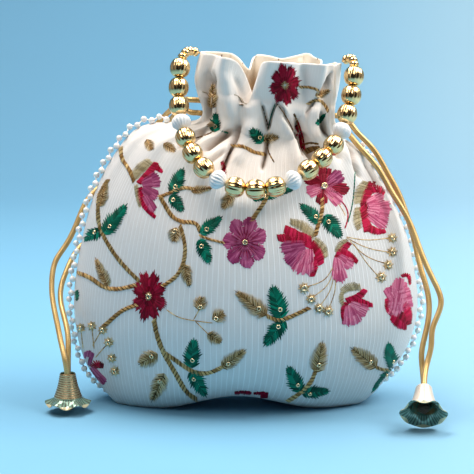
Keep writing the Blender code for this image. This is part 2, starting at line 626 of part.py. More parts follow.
def main():
    for thing in list(bpy.data.objects):
        bpy.data.objects.remove(thing)
    collection = bpy.data.collections.new("potli_bag")
    bpy.context.scene.collection.children.link(collection)
    silk = (0.86, 0.84, 0.80)
    add_panel("front_panel", FRONT, FRONT_COLUMNS, silk, collection)
    add_panel("back_panel", BACK, BACK_COLUMNS, silk, collection)
    add_lining(collection)
    add_pearls(collection)
    add_drawstring(collection)
    add_bells(collection)
    add_handle(collection)


main()
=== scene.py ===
"""Looks of the potli bag: gathered slub silk, raised thread embroidery, beads, pearls and cords.

Metres, +Z up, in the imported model's frame. The bag's front faces -Y.
Motifs are placed by pixels of the 474 by 474 photograph, and every stitch is laid on the cloth
along the ray through its pixel. The back panel carries the same ornament in mirror image."""

import math
import random

import bmesh
import bpy
import numpy as np
from mathutils import Matrix, Vector
from mathutils.bvhtree import BVHTree


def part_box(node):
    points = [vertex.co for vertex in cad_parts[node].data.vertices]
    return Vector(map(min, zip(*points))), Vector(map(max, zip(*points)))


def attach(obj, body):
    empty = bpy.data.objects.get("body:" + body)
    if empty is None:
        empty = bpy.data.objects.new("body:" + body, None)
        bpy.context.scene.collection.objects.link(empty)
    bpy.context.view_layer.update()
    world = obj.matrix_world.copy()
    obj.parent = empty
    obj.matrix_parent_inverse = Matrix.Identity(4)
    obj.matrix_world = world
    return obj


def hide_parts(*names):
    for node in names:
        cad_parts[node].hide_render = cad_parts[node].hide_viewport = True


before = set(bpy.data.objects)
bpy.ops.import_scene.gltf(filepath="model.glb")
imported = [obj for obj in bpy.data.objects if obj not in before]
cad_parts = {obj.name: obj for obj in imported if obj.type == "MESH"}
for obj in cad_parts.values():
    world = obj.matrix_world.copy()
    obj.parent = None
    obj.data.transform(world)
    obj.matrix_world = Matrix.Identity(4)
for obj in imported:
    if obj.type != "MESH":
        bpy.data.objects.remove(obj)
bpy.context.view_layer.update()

MM = 0.001
FRONT = -1
BACK = 1
rng = random.Random(11)

# The photograph
PHOTO_PX = 474
FOCAL_PX = 1666.7
SENSOR_MM = 36
CAMERA_AT = (-0.0054, -1.0, 0.260)
CAMERA_PITCH = math.radians(9.04)    # looking down

# The bag's outer form, as in the CAD source (mm).
OUTLINE_ROWS = (0, 0.06, 0.14, 0.24, 0.36, 0.48, 0.60, 0.70, 0.78, 0.85, 0.92, 1.0)
LEFT_SEAM = (
    (-80, 5.5), (-91, 13), (-100, 28), (-104.8, 53), (-103, 81), (-97, 110),
    (-87, 138), (-73, 160), (-54, 170.5), (-27, 173), (-29.5, 192), (-27, 213),
)
RIGHT_SEAM = (
    (62, 5.5), (81, 13), (96, 28), (104.3, 52), (103, 79), (97, 104),
    (87, 127), (76, 145), (65, 157.5), (53, 167), (55, 188), (57, 206),
)
MIDDLE = (
    (0, 7), (19, 3), (41, 13), (56, 38), (60, 68), (57, 97),
    (49, 121), (39, 141), (30, 156), (22, 170), (26, 190), (31, 209),
)
NECK_ROW = 0.85
NECK_LEFT = (-27 * MM, 180 * MM)
NECK_RIGHT = (53 * MM, 171 * MM)
FRONT_PLEATS = (
    (-0.82, 3.5, 3.0, 0.08, 0.0), (-0.60, 4.5, 3.0, 0.09, -0.1), (-0.40, 4.0, 11.0, 0.10, -0.1),
    (-0.17, 6.5, 0.0, 0.09, 0.0), (-0.02, 0.0, 9.0, 0.09, 0.0), (0.14, 6.5, 9.0, 0.09, 0.9),
    (0.30, 2.5, 3.0, 0.07, 0.8), (0.46, 6.0, 9.0, 0.09, 0.7), (0.65, 5.0, 4.0, 0.09, 0.4),
    (0.83, 3.0, 1.5, 0.06, 0.1),
)
BACK_PLEATS = (
    (-0.80, 3.5, 2.0, 0.08, 0.0), (-0.60, 5.0, 8.0, 0.10, 0.0), (-0.38, 5.0, 5.0, 0.09, 0.0),
    (-0.14, 5.0, 9.0, 0.10, 0.2), (0.08, 4.0, 4.0, 0.09, 0.4), (0.30, 5.0, 10.0, 0.10, 0.5),
    (0.52, 5.0, 5.0, 0.09, 0.5), (0.70, 5.0, 6.0, 0.08, 0.3), (0.84, 3.0, 1.5, 0.06, 0.1),
)
# Valleys pressed into the frill: place across, depth, drop of the rim (mm), half width across.
FRONT_VALLEYS = (
    (-0.64, 4.0, 1.0, 0.07), (-0.21, 14.0, 14.0, 0.075),
    (0.28, 3.0, 0.5, 0.05), (0.78, 4.0, 2.5, 0.06),
)
BACK_VALLEYS = (
    (-0.24, 8.0, 6.0, 0.08), (0.10, 5.0, 1.0, 0.07),
    (0.34, -1.0, -3.0, 0.12), (0.62, 5.0, 2.0, 0.07),
)
VALLEY_ROW = 0.89                # they start here, above the drawstring
PLEAT_RUN = 0.13
PLEAT_TROUGH = 1.6 * MM
FRILL_TROUGH = 3.0 * MM
ARCH_X = -4 * MM
ARCH_WIDTH = 42 * MM
ARCH_RISE = 4.5 * MM
LOBE_DROP = 12.0 * MM
ARCH_HEIGHT = 40 * MM
CLOTH = 1.0 * MM
LINING_CLOTH = 0.6 * MM
SEAM_GAP = 1.2 * MM
SLOT_CLEARANCE = 1.9 * MM
SLOT_HEIGHT = 9.5 * MM
SLOT_FROM_LEFT = (0.80, 0.835)
SLOT_FROM_RIGHT = (0.765, 0.80)
SLOT_TO = (0.905, 0.945)
TOUCH = 0.3 * MM

PANEL_COLUMNS = 240
PANEL_ROWS = 170
NECK_LOW = 0.55                  # the upper rows lie closer together, where the folds are
CASING_CLEARANCE = 3.0 * MM      # from the drawstring's middle inward to the cloth that hides it
CASING_TOP = 0.90                # share of a panel's rows at which the lining is sewn to the frill
CASING_PLEATS = 34
CASING_PLEAT = 1.3 * MM
MOUTH_DROPS = {  # place across, further drop of the rim (mm), half width across
    FRONT: ((-0.205, 12.0, 0.065),),
    BACK: ((-0.24, 3.0, 0.06),),
}

# Cords
CORD_DIA = 3.4 * MM
STRANDS = {
    "drawstring_left_a": (
        (-30.2, 0, 184.1), (-33.4, 0, 184.2), (-36.5, 4.5, 184.2), (-40.5, 11.5, 181.5),
        (-46.5, 19.5, 176), (-54.5, 26, 167.5), (-66, 31, 153.5), (-79, 30, 137),
        (-96, 20, 123.3), (-104.7, 13, 105.4), (-111.2, 8.5, 93.3), (-116, 4.5, 86),
        (-118, -1, 76.8), (-117.6, -7, 67), (-114, -17.5, 53), (-110.3, -27, 40.6),
        (-107.6, -33.3, 32), (-106.5, -33.95, 24.5), (-106.3, -33.95, 16), (-106.3, -33.95, 8.9),
    ),
    "drawstring_left_b": (
        (-30.2, 0, 176.5), (-33.4, 0, 176.8), (-36, 4.5, 178.2), (-39.5, 12, 177.2),
        (-45, 22, 171.5), (-54, 33, 159), (-66, 40, 141), (-79, 43, 120),
        (-91, 38, 101), (-105.5, 22, 88), (-110.4, 13, 78.2), (-113, 5, 70.3),
        (-112.8, -4, 62.7), (-109.5, -14.5, 53.7), (-106.7, -23, 44.5), (-106.2, -28, 34.5),
        (-106.2, -29.9, 28), (-106.3, -30.05, 22), (-106.3, -30.05, 15), (-106.3, -30.05, 8.9),
    ),
    "drawstring_right_a": (
        (56.2, 0, 166.9), (59.2, 0, 166.4), (62, -2.8, 163.8), (65.5, -6.2, 159.3),
        (70, -9.5, 154.3), (78.8, -12.5, 144.1), (86, -16, 131.8), (90.3, -18.5, 124.9),
        (96.6, -22, 114), (102.5, -28, 98.8), (105.5, -31.5, 91), (111.3, -36.5, 78.7),
        (114.3, -40.5, 68.7), (112.5, -43, 62.3), (108.8, -46.5, 53.3), (107.8, -50, 43.9),
        (105.3, -53.5, 35.2), (102.8, -61.9, 26.1), (102.4, -65.4, 23.2), (101.7, -71.4, 17.9),
    ),
    "drawstring_right_b": (
        (56.2, 0, 174.5), (59.2, 0, 174), (62.3, -1, 171), (66.3, -2.8, 165.5),
        (74.6, -5.2, 157.1), (83.9, -7.5, 142.7), (91, -10.5, 129.8), (96.8, -14.5, 114.1),
        (100.7, -20, 99.9), (103.6, -26.5, 86.5), (107.3, -34, 72), (107.4, -39.5, 60.7),
        (104.8, -44.5, 49.5), (102.5, -48.6, 39.1), (102.8, -51.6, 31.3), (102.8, -59.6, 23),
        (102.4, -63, 20.25), (101.7, -69, 15.1),
    ),
}
STRAND_RINGS = 160
CORD_SIDES = 14
CHANNEL_X = 13 * MM
CHANNEL_HALF_WIDTH = 34.5 * MM
CHANNEL_HALF_DEPTH = 16.8 * MM
CHANNEL_RUN_IN = 4.5 * MM
TURN_GAP = 0.4 * MM
EXIT_REACH = 2.5 * MM
THREAD_DIA = 1.2 * MM
HANDLE_ENDS = ((-27.4, 0, 212.2), (57.4, 0, 207.2))
CORD_OVERLAP = 0.8 * MM          # a strand's start, laid over the cord that comes out of the channel

# Bells
BELLS = {  # mouth (mm), way the mouth faces
    "left": ((-106.3, -32, 5.5), (0, 0, -1)),
    "right": ((101.0, -76.9, 10.7), (-0.083, -0.753, -0.653)),
}
BELL_HEIGHT = 18.4 * MM
BELL_HOLE_DIA = 8.0 * MM
BELL_SHOULDER_DIA = 15.6 * MM
BELL_LIP = 4.0 * MM
BELL_MOUTH_DIA = 26.5 * MM
BELL_WALL = 0.6 * MM
BELL_PETALS = 6
PETAL_WAVE = 1.3 * MM
BELL_RIBS = 11
RIB_STEPS = 6
BELL_STEPS = 72
BELL_RIM_ROWS = 5

# Beads
GOLD_BEAD_DIA = 12.0 * MM
GOLD_BEAD_LENGTH = 11.5 * MM
GOLD_FLUTES = 16
WHITE_BEAD_DIA = 11.8 * MM
WHITE_BEAD_LENGTH = 10.3 * MM
SPACER_DIA = 5.6 * MM
SPACER_LENGTH = 3.2 * MM
BEAD_HOLE_DIA = 1.9 * MM
PEARL_DIA = 3.5 * MM
PEARL_PITCH = 4.3 * MM
PEARL_ZIGZAG = 1.4 * MM
PEARL_THREAD_DIA = 0.9 * MM
PEARLS_HIDE_BELOW = 12 * MM
PEARLS_SPREAD_ABOVE = 34 * MM
PEARL_FOLD = 1.0 * MM
PEARLS_FROM_LEFT = 0.795
PEARLS_TO_RIGHT = 0.76


# Geometry helpers

def smoothstep(low, high, value):
    share = np.clip((value - low) / (high - low), 0, 1)
    return share * share * (3 - 2 * share)


def natural_spline(places, values, at):
    """A smooth curve through values at places, read at the given places."""
    places = np.asarray(places, float)
    values = np.asarray(values, float)
    count = len(places)
    step = np.diff(places)
    matrix = np.eye(count)
    right = np.zeros_like(values)
    for i in range(1, count - 1):
        matrix[i, i - 1:i + 2] = step[i - 1], 2 * (step[i - 1] + step[i]), step[i]
        right[i] = 6 * ((values[i + 1] - values[i]) / step[i] - (values[i] - values[i - 1]) / step[i - 1])
    bend = np.linalg.solve(matrix, right)
    at = np.asarray(at, float)
    k = np.clip(np.searchsorted(places, at, side="right") - 1, 0, count - 2)
    tail = (...,) + (None,) * (values.ndim - 1)
    over = (places[k + 1] - at)[tail]
    under = (at - places[k])[tail]
    width = step[k][tail]
    cubic = (bend[k] * over**3 + bend[k + 1] * under**3) / (6 * width)
    return (cubic + (values[k] / width - bend[k] * width / 6) * over
            + (values[k + 1] / width - bend[k + 1] * width / 6) * under)


def smooth_route(points, count):
    """Points spaced evenly along a smooth curve through the route's own points."""
    points = np.asarray(points, float)
    places = np.concatenate([[0], np.cumsum(np.linalg.norm(np.diff(points, axis=0), axis=1))])
    fine = natural_spline(places, points, np.linspace(0, places[-1], 40 * len(points)))
    length = np.concatenate([[0], np.cumsum(np.linalg.norm(np.diff(fine, axis=0), axis=1))])
    even = np.linspace(0, length[-1], count)
    return np.stack([np.interp(even, length, fine[:, axis]) for axis in range(points.shape[1])], axis=-1)


def route_length(points):
    return float(np.linalg.norm(np.diff(np.asarray(points), axis=0), axis=1).sum())


class Patches:
    """Collects grids of points and makes one mesh of them."""

    def __init__(self):
        self.points = []
        self.faces = []
        self.coords = []
        self.count = 0

    def add(self, grid, uv, wrap=False):
        """grid is rows by columns of points; wrap joins the last column to the first."""
        rows, columns = grid.shape[:2]
        uv = np.broadcast_to(uv, (rows, columns, 2))
        index = np.arange(rows * columns).reshape(rows, columns) + self.count
        if wrap:
            index = np.concatenate([index, index[:, :1]], axis=1)
        corners = np.stack([index[:-1, :-1], index[:-1, 1:], index[1:, 1:], index[1:, :-1]], axis=-1)
        if wrap:
            wide = np.concatenate([uv, uv[:, :1] + (uv[:, -1:] - uv[:, -2:-1]) * columns], axis=1)
        else:
            wide = uv
        coords = np.stack([wide[:-1, :-1], wide[:-1, 1:], wide[1:, 1:], wide[1:, :-1]], axis=-2)
        self.points.append(grid.reshape(-1, 3))
        self.faces.append(corners.reshape(-1, 4))
        self.coords.append(coords.reshape(-1, 2))
        self.count += rows * columns

    def make(self, name, material, body):
        mesh = bpy.data.meshes.new(name)
        faces = np.concatenate(self.faces)
        mesh.from_pydata(np.concatenate(self.points).tolist(), [], faces.tolist())
        layer = mesh.uv_layers.new(name="thread")
        layer.data.foreach_set("uv", np.concatenate(self.coords).astype(np.float32).ravel())
        mesh.shade_smooth()
        mesh.materials.append(material)
        piece = bpy.data.objects.new(name, mesh)
        bpy.context.scene.collection.objects.link(piece)
        if body:
            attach(piece, body)
        return piece


def tube_grid(points, radius, sides):
    """Rings round a route, in a frame that doesn't spin."""
    points = np.asarray(points, float)
    tangent = np.gradient(points, axis=0)
    tangent /= np.linalg.norm(tangent, axis=1, keepdims=True)
    side = np.cross(tangent[0], (0.0, 0.0, 1.0))
    if np.linalg.norm(side) < 0.1:
        side = np.cross(tangent[0], (0.0, 1.0, 0.0))
    side /= np.linalg.norm(side)
    travelled = np.concatenate([[0], np.cumsum(np.linalg.norm(np.diff(points, axis=0), axis=1))])
    angle = np.linspace(0, 2 * math.pi, sides, endpoint=False)
    grid = np.zeros((len(points), sides, 3))
    uv = np.zeros((len(points), sides, 2))
    for i, centre in enumerate(points):
        side = side - tangent[i] * np.dot(side, tangent[i])
        side /= np.linalg.norm(side)
        other = np.cross(tangent[i], side)
        around = np.outer(np.cos(angle), side) + np.outer(np.sin(angle), other)
        grid[i] = centre + around * radius
        uv[i, :, 0] = travelled[i] / MM
        uv[i, :, 1] = angle / (2 * math.pi)
    return grid, uv


# Materials

class Nodes:
    """A material's node tree, with short calls for the nodes used here."""

    def __init__(self, name):
        self.material = bpy.data.materials.new(name)
        self.material.use_nodes = True
        self.tree = self.material.node_tree
        self.shader = self.tree.nodes["Principled BSDF"]

    def node(self, kind, settings=None, **inputs):
        node = self.tree.nodes.new(kind)
        for key, value in (settings or {}).items():
            setattr(node, key, value)
        for key, value in inputs.items():
            self.feed(node.inputs[key.replace("_", " ")], value)
        return node

    def feed(self, socket, value):
        if isinstance(value, bpy.types.NodeSocket):
            self.tree.links.new(value, socket)
        else:
            socket.default_value = value

    def math(self, operation, first, second=0.0, third=0.0):
        node = self.node("ShaderNodeMath", {"operation": operation})
        self.feed(node.inputs[0], first)
        self.feed(node.inputs[1], second)
        self.feed(node.inputs[2], third)
        return node.outputs[0]

    def uv(self):
        """Along and across of the thread layer."""
        source = self.node("ShaderNodeUVMap", {"uv_map": "thread"})
        split = self.node("ShaderNodeSeparateXYZ", Vector=source.outputs[0])
        return split.outputs[0], split.outputs[1], source.outputs[0]

    def place(self):
        return self.node("ShaderNodeTexCoord").outputs["Object"]

    def noise(self, vector, scale, detail=3.0, rough=0.55):
        node = self.node("ShaderNodeTexNoise", Scale=scale, Detail=detail, Roughness=rough)
        self.feed(node.inputs["Vector"], vector)
        return node.outputs["Fac"]

    def stretch(self, vector, scale):
        node = self.node("ShaderNodeMapping")
        self.feed(node.inputs["Vector"], vector)
        node.inputs["Scale"].default_value = scale
        return node.outputs[0]

    def ramp(self, factor, *stops):
        node = self.node("ShaderNodeValToRGB", Fac=factor)
        marks = node.color_ramp.elements
        while len(marks) < len(stops):
            marks.new(0.5)
        for mark, (place, colour) in zip(marks, stops):
            mark.position = place
            mark.color = (*colour, 1)
        return node.outputs[0]

    def mix(self, factor, first, second, blend="MIX"):
        node = self.node("ShaderNodeMix", {"data_type": "RGBA", "blend_type": blend})
        self.feed(node.inputs["Factor"], factor)
        self.feed(node.inputs[6], first if not isinstance(first, tuple) else (*first, 1))
        self.feed(node.inputs[7], second if not isinstance(second, tuple) else (*second, 1))
        return node.outputs[2]

    def bump(self, height, distance, strength=1.0):
        node = self.node("ShaderNodeBump", Height=height, Strength=strength, Distance=distance)
        self.feed(self.shader.inputs["Normal"], node.outputs[0])

    def set(self, **values):
        for key, value in values.items():
            self.feed(self.shader.inputs[key.replace("_", " ")], value)


def wave(nodes, along, period):
    """0 to 1 and back, once every period of the coordinate."""
    turn = nodes.math("MULTIPLY", along, 2 * math.pi / period)
    return nodes.math("MULTIPLY_ADD", nodes.math("SINE", turn), 0.5, 0.5)


def silk(name, base, shade):
    """Slub silk with a white rib every few millimetres; the layer's units are millimetres."""
    nodes = Nodes(name)
    across, along, vector = nodes.uv()
    wander = nodes.noise(nodes.stretch(vector, (0.16, 0.02, 1)), 1.0, 2.0)
    moved = nodes.math("MULTIPLY_ADD", wander, 1.6, across)
    rib = nodes.math("POWER", wave(nodes, moved, 2.8), 14.0)
    broken = nodes.noise(nodes.stretch(vector, (0.35, 0.03, 1)), 1.0, 2.0)
    kept = nodes.math("SMOOTH_MIN", nodes.math("MULTIPLY", broken, 1.5), 1.0, 0.2)
    rib = nodes.math("MULTIPLY", rib, kept)
    # gathered is 1 on the body and 0.5 on the frill; it thins the ribs and sets the frill's painted light.
    gathered = nodes.node("ShaderNodeMapRange", {"interpolation_type": "SMOOTHSTEP"},
                          Value=along, From_Min=165.0, From_Max=215.0, To_Min=1.0, To_Max=0.5)
    rib = nodes.math("MULTIPLY", rib, gathered.outputs[0])
    warp = nodes.noise(nodes.stretch(vector, (5.0, 0.10, 1)), 1.0, 3.0)
    weft = nodes.noise(nodes.stretch(vector, (0.12, 4.0, 1)), 1.0, 3.0)
    slub = nodes.math("ADD", nodes.math("MULTIPLY", warp, 0.6), nodes.math("MULTIPLY", weft, 0.4))
    cloud = nodes.noise(nodes.place(), 22.0, 2.0)
    tone = nodes.mix(slub, shade, base)
    tone = nodes.mix(nodes.math("MULTIPLY", cloud, 0.25), tone, shade)
    tone = nodes.mix(nodes.math("MULTIPLY", rib, 0.75), tone, (0.93, 0.93, 0.93))
    # Above the neck the tone is mixed towards a warm white: painted light and sheen on the frill.
    white = nodes.math("MULTIPLY_ADD", gathered.outputs[0], -1.1, 1.1)
    tone = nodes.mix(white, tone, (0.98, 0.91, 0.84))
    # Dark brown where the crease attribute marks the fold valleys: painted shade in the folds, mottled by the slub.
    crease = nodes.node("ShaderNodeAttribute", {"attribute_name": "crease"}).outputs["Fac"]
    deep = nodes.math("POWER", crease, 0.8)
    wear_and_painted_crease_shade = nodes.math("MULTIPLY", deep, nodes.math("MULTIPLY_ADD", slub, 0.3, 0.7))
    tone = nodes.mix(nodes.math("MULTIPLY", wear_and_painted_crease_shade, 0.75), tone, (0.26, 0.15, 0.08))
    nodes.set(Base_Color=tone, Roughness=0.62, Sheen_Weight=0.25, Sheen_Roughness=0.4)
    nodes.set(Specular_IOR_Level=0.35)
    height = nodes.math("ADD", nodes.math("MULTIPLY", rib, 0.8), nodes.math("MULTIPLY", slub, 0.9))
    nodes.bump(height, 0.22 * MM, 0.8)
    return nodes.material


def silk_inside(name, dark, light, mouth_shade_share, pinholes):
    """Cream backing with the embroidery's pinholes, and dark brown painted shade lower inside the mouth."""
    nodes = Nodes(name)
    vector = nodes.uv()[2]
    weave = nodes.noise(nodes.stretch(vector, (3.0, 1.2, 1)), 1.0, 3.0)
    cells = nodes.node("ShaderNodeTexVoronoi", Scale=0.12)
    nodes.feed(cells.inputs["Vector"], vector)
    hole = nodes.math("LESS_THAN", cells.outputs["Distance"], 0.11)
    tone = nodes.mix(weave, dark, light)
    height = nodes.node("ShaderNodeSeparateXYZ", Vector=nodes.place()).outputs[2]
    # Dark brown from 212 mm down to 196 mm and below, deeper inside the mouth: painted shade.
    painted_mouth_shade = nodes.node("ShaderNodeMapRange", {"interpolation_type": "SMOOTHSTEP"},
                        Value=nodes.math("MULTIPLY_ADD", weave, 0.012, height),
                        From_Min=0.212, From_Max=0.196, To_Min=0.0, To_Max=mouth_shade_share)
    tone = nodes.mix(painted_mouth_shade.outputs[0], tone, (0.30, 0.17, 0.06))
    tone = nodes.mix(nodes.math("MULTIPLY", hole, pinholes), tone, (0.14, 0.08, 0.05))
    nodes.set(Base_Color=tone, Roughness=0.8, Sheen_Weight=0.15)
    nodes.bump(weave, 0.15 * MM, 0.6)
    return nodes.material


def thread(name, dark, middle, light, gloss=0.36, metallic=0.0):
    """Embroidery thread: each stitch has its own tone, and fine plies run along it."""
    nodes = Nodes(name)
    along, across, _ = nodes.uv()
    own = nodes.math("MULTIPLY", nodes.math("FLOOR", across), 0.1)
    ply = nodes.math("ADD", nodes.math("MULTIPLY", nodes.math("FRACT", across), 2.0), along)
    plies = wave(nodes, ply, 0.55)
    wear_and_painted_crease_shade = nodes.noise(nodes.place(), 900.0, 2.0)
    tone = nodes.math("ADD", nodes.math("MULTIPLY", own, 0.75), nodes.math("MULTIPLY", wear_and_painted_crease_shade, 0.25))
    colour = nodes.ramp(tone, (0.1, dark), (0.5, middle), (0.95, light))
    colour = nodes.mix(nodes.math("MULTIPLY", plies, 0.22), colour, dark)
    nodes.set(Base_Color=colour, Roughness=gloss, Metallic=metallic)
    nodes.set(Specular_IOR_Level=0.12)
    nodes.bump(plies, 0.08 * MM, 0.7)
    return nodes.material


def gold_metal(name, base, dark, rough):
    nodes = Nodes(name)
    dull = nodes.noise(nodes.place(), 260.0, 3.0)
    nodes.set(Base_Color=nodes.mix(dull, dark, base), Metallic=1.0)
    nodes.set(Roughness=nodes.math("MULTIPLY_ADD", dull, 0.10, rough))
    fine = nodes.noise(nodes.place(), 1400.0, 2.0)
    nodes.bump(fine, 0.02 * MM, 0.5)
    return nodes.material


def satin_cord(name):
    nodes = Nodes(name)
    along, across, _ = nodes.uv()
    lay = nodes.math("ADD", nodes.math("MULTIPLY", across, 4.0), nodes.math("MULTIPLY", along, 0.9))
    fine = wave(nodes, lay, 1.0)
    cloud = nodes.noise(nodes.place(), 120.0, 2.0)
    tone = nodes.mix(cloud, (0.50, 0.29, 0.08), (0.80, 0.56, 0.24))
    tone = nodes.mix(nodes.math("MULTIPLY", fine, 0.35), tone, (0.36, 0.20, 0.05))
    nodes.set(Base_Color=tone, Roughness=0.27, Sheen_Weight=0.2, Metallic=0.45)
    nodes.bump(fine, 0.12 * MM, 0.5)
    return nodes.material


def pearl():
    nodes = Nodes("pearl")
    cloud = nodes.noise(nodes.place(), 300.0, 2.0)
    tone = nodes.mix(cloud, (0.88, 0.85, 0.80), (0.96, 0.95, 0.94))
    nodes.set(Base_Color=tone, Roughness=0.22, Coat_Weight=0.6, Coat_Roughness=0.15)
    nodes.set(Subsurface_Weight=0.1, Subsurface_Scale=0.001)
    return nodes.material


# Camera, floor and light

def photo_ray(px, py):
    """Direction from the camera through a pixel of the photograph."""
    right = (px - PHOTO_PX / 2) / FOCAL_PX
    up = (PHOTO_PX / 2 - py) / FOCAL_PX
    sink, level = math.sin(CAMERA_PITCH), math.cos(CAMERA_PITCH)
    return Vector((right, level + up * sink, -sink + up * level)).normalized()


def photo_pixels(points):
    """Pixels of the photograph at which points are seen."""
    away = np.asarray(points) - np.array(CAMERA_AT)
    sink, level = math.sin(CAMERA_PITCH), math.cos(CAMERA_PITCH)
    depth = away[..., 1] * level - away[..., 2] * sink
    up = away[..., 1] * sink + away[..., 2] * level
    px = PHOTO_PX / 2 + FOCAL_PX * away[..., 0] / depth
    return px, PHOTO_PX / 2 - FOCAL_PX * up / depth


def add_camera():
    data = bpy.data.cameras.new("camera")
    data.sensor_width = SENSOR_MM
    data.lens = SENSOR_MM * FOCAL_PX / PHOTO_PX
    data.clip_start = 0.01
    camera = bpy.data.objects.new("camera", data)
    camera.location = CAMERA_AT
    camera.rotation_euler = (math.pi / 2 - CAMERA_PITCH, 0, 0)
    bpy.context.scene.collection.objects.link(camera)
    bpy.context.scene.camera = camera


def add_light(name, size, power, at, towards, colour=(1, 1, 1)):
    data = bpy.data.lights.new(name, "AREA")
    data.shape = "RECTANGLE"
    data.size, data.size_y = size
    data.energy = power
    data.color = colour
    light = bpy.data.objects.new(name, data)
    light.location = at
    light.rotation_euler = (Vector(at) - Vector(towards)).to_track_quat("Z", "Y").to_euler()
    bpy.context.scene.collection.objects.link(light)


def backdrop_material(name, colour):
    nodes = Nodes(name)
    cloud = nodes.noise(nodes.place(), 1.3, 2.0)
    tone = nodes.mix(cloud, colour, tuple(c * 0.96 for c in colour))
    across = nodes.node("ShaderNodeSeparateXYZ", Vector=nodes.place()).outputs[0]
    # Lighter towards +X, the right of the picture: a painted pool of light on the sheet.
    pale = nodes.node("ShaderNodeMapRange", {"interpolation_type": "SMOOTHSTEP"},
                      Value=across, From_Min=-0.05, From_Max=0.45, To_Min=0.0, To_Max=0.8)
    tone = nodes.mix(pale.outputs[0], tone, (0.38, 0.56, 0.66))
    nodes.set(Base_Color=tone, Roughness=0.75)
    nodes.set(Specular_IOR_Level=0.2)
    return nodes.material


def add_stage():
    """A pale sheet that runs from the floor up behind the bag in one sweep."""
    profile = [(-2.2, 0), (0.9, 0)]
    for degrees in range(10, 91, 10):
        angle = math.radians(degrees)
        profile.append((0.9 + 0.6 * math.sin(angle), 0.6 - 0.6 * math.cos(angle)))
    profile.append((1.5, 2.6))
    bm = bmesh.new()
    rows = [[bm.verts.new((x, y, z)) for x in (-2.5, 2.5)] for y, z in profile]
    for low, high in zip(rows, rows[1:]):
        bm.faces.new((low[0], low[1], high[1], high[0]))
    mesh = bpy.data.meshes.new("floor")
    bm.to_mesh(mesh)
    bm.free()
    mesh.shade_smooth()
    mesh.materials.append(backdrop_material("backdrop", (0.165, 0.385, 0.565)))
    floor = bpy.data.objects.new("floor", mesh)
    bpy.context.scene.collection.objects.link(floor)

    add_world()
    add_light("key", (0.9, 0.7), 21, (0.85, -0.15, 1.15), (0, 0, 0.1), (1.0, 0.95, 0.90))
    add_light("top", (1.0, 0.6), 20, (-0.30, 0.15, 1.25), (0, 0, 0.12), (1.0, 0.95, 0.90))
    add_light("front", (0.7, 0.5), 4.8, (-0.42, -0.80, 1.15), (0, 0, 0.17), (1.0, 0.93, 0.86))
    add_light("backdrop", (1.6, 0.5), 12, (1.1, 0.75, 1.5), (0.6, 1.5, 0.25))


def add_world():
    """A studio: pale for the camera, and lit softly but for the dark side where the camera stands."""
    world = bpy.data.worlds.new("world")
    world.use_nodes = True
    tree = world.node_tree
    place = tree.nodes.new("ShaderNodeTexCoord")
    facing = tree.nodes.new("ShaderNodeVectorMath")
    facing.operation = "DOT_PRODUCT"
    facing.inputs[1].default_value = (0.0, -0.985, 0.17)
    tree.links.new(place.outputs["Generated"], facing.inputs[0])
    dim = tree.nodes.new("ShaderNodeMapRange")
    dim.interpolation_type = "SMOOTHSTEP"
    for socket, value in zip(("From Min", "From Max", "To Min", "To Max"), (0.25, 0.80, 0.34, 0.01)):
        dim.inputs[socket].default_value = value
    tree.links.new(facing.outputs["Value"], dim.inputs["Value"])
    ground = tree.nodes["Background"]
    path = tree.nodes.new("ShaderNodeLightPath")
    pick = tree.nodes.new("ShaderNodeMix")
    pick.data_type = "FLOAT"
    pick.inputs[3].default_value = 0.8
    tree.links.new(path.outputs["Is Camera Ray"], pick.inputs[0])
    tree.links.new(dim.outputs[0], pick.inputs[2])
    tint = tree.nodes.new("ShaderNodeMix")
    tint.data_type = "RGBA"
    tint.inputs[6].default_value = (1.0, 0.95, 0.90, 1)
    tint.inputs[7].default_value = (0.60, 0.82, 1.0, 1)
    tree.links.new(path.outputs["Is Camera Ray"], tint.inputs[0])
    tree.links.new(tint.outputs[2], ground.inputs["Color"])
    tree.links.new(pick.outputs[0], ground.inputs["Strength"])
    bpy.context.scene.world = world


# Cloth

def neck_height(x):
    share = (x - NECK_LEFT[0]) / (NECK_RIGHT[0] - NECK_LEFT[0])
    return NECK_LEFT[1] + share * (NECK_RIGHT[1] - NECK_LEFT[1])


def bottom_shift(x, z, v, swell):
    low = smoothstep(ARCH_HEIGHT, 0, z) * smoothstep(0, 0.04, v)
    arch = np.exp(-((x - ARCH_X) / ARCH_WIDTH) ** 2)
    return low * (ARCH_RISE * arch - LOBE_DROP * (1 - arch) * smoothstep(0.1, 0.5, swell))


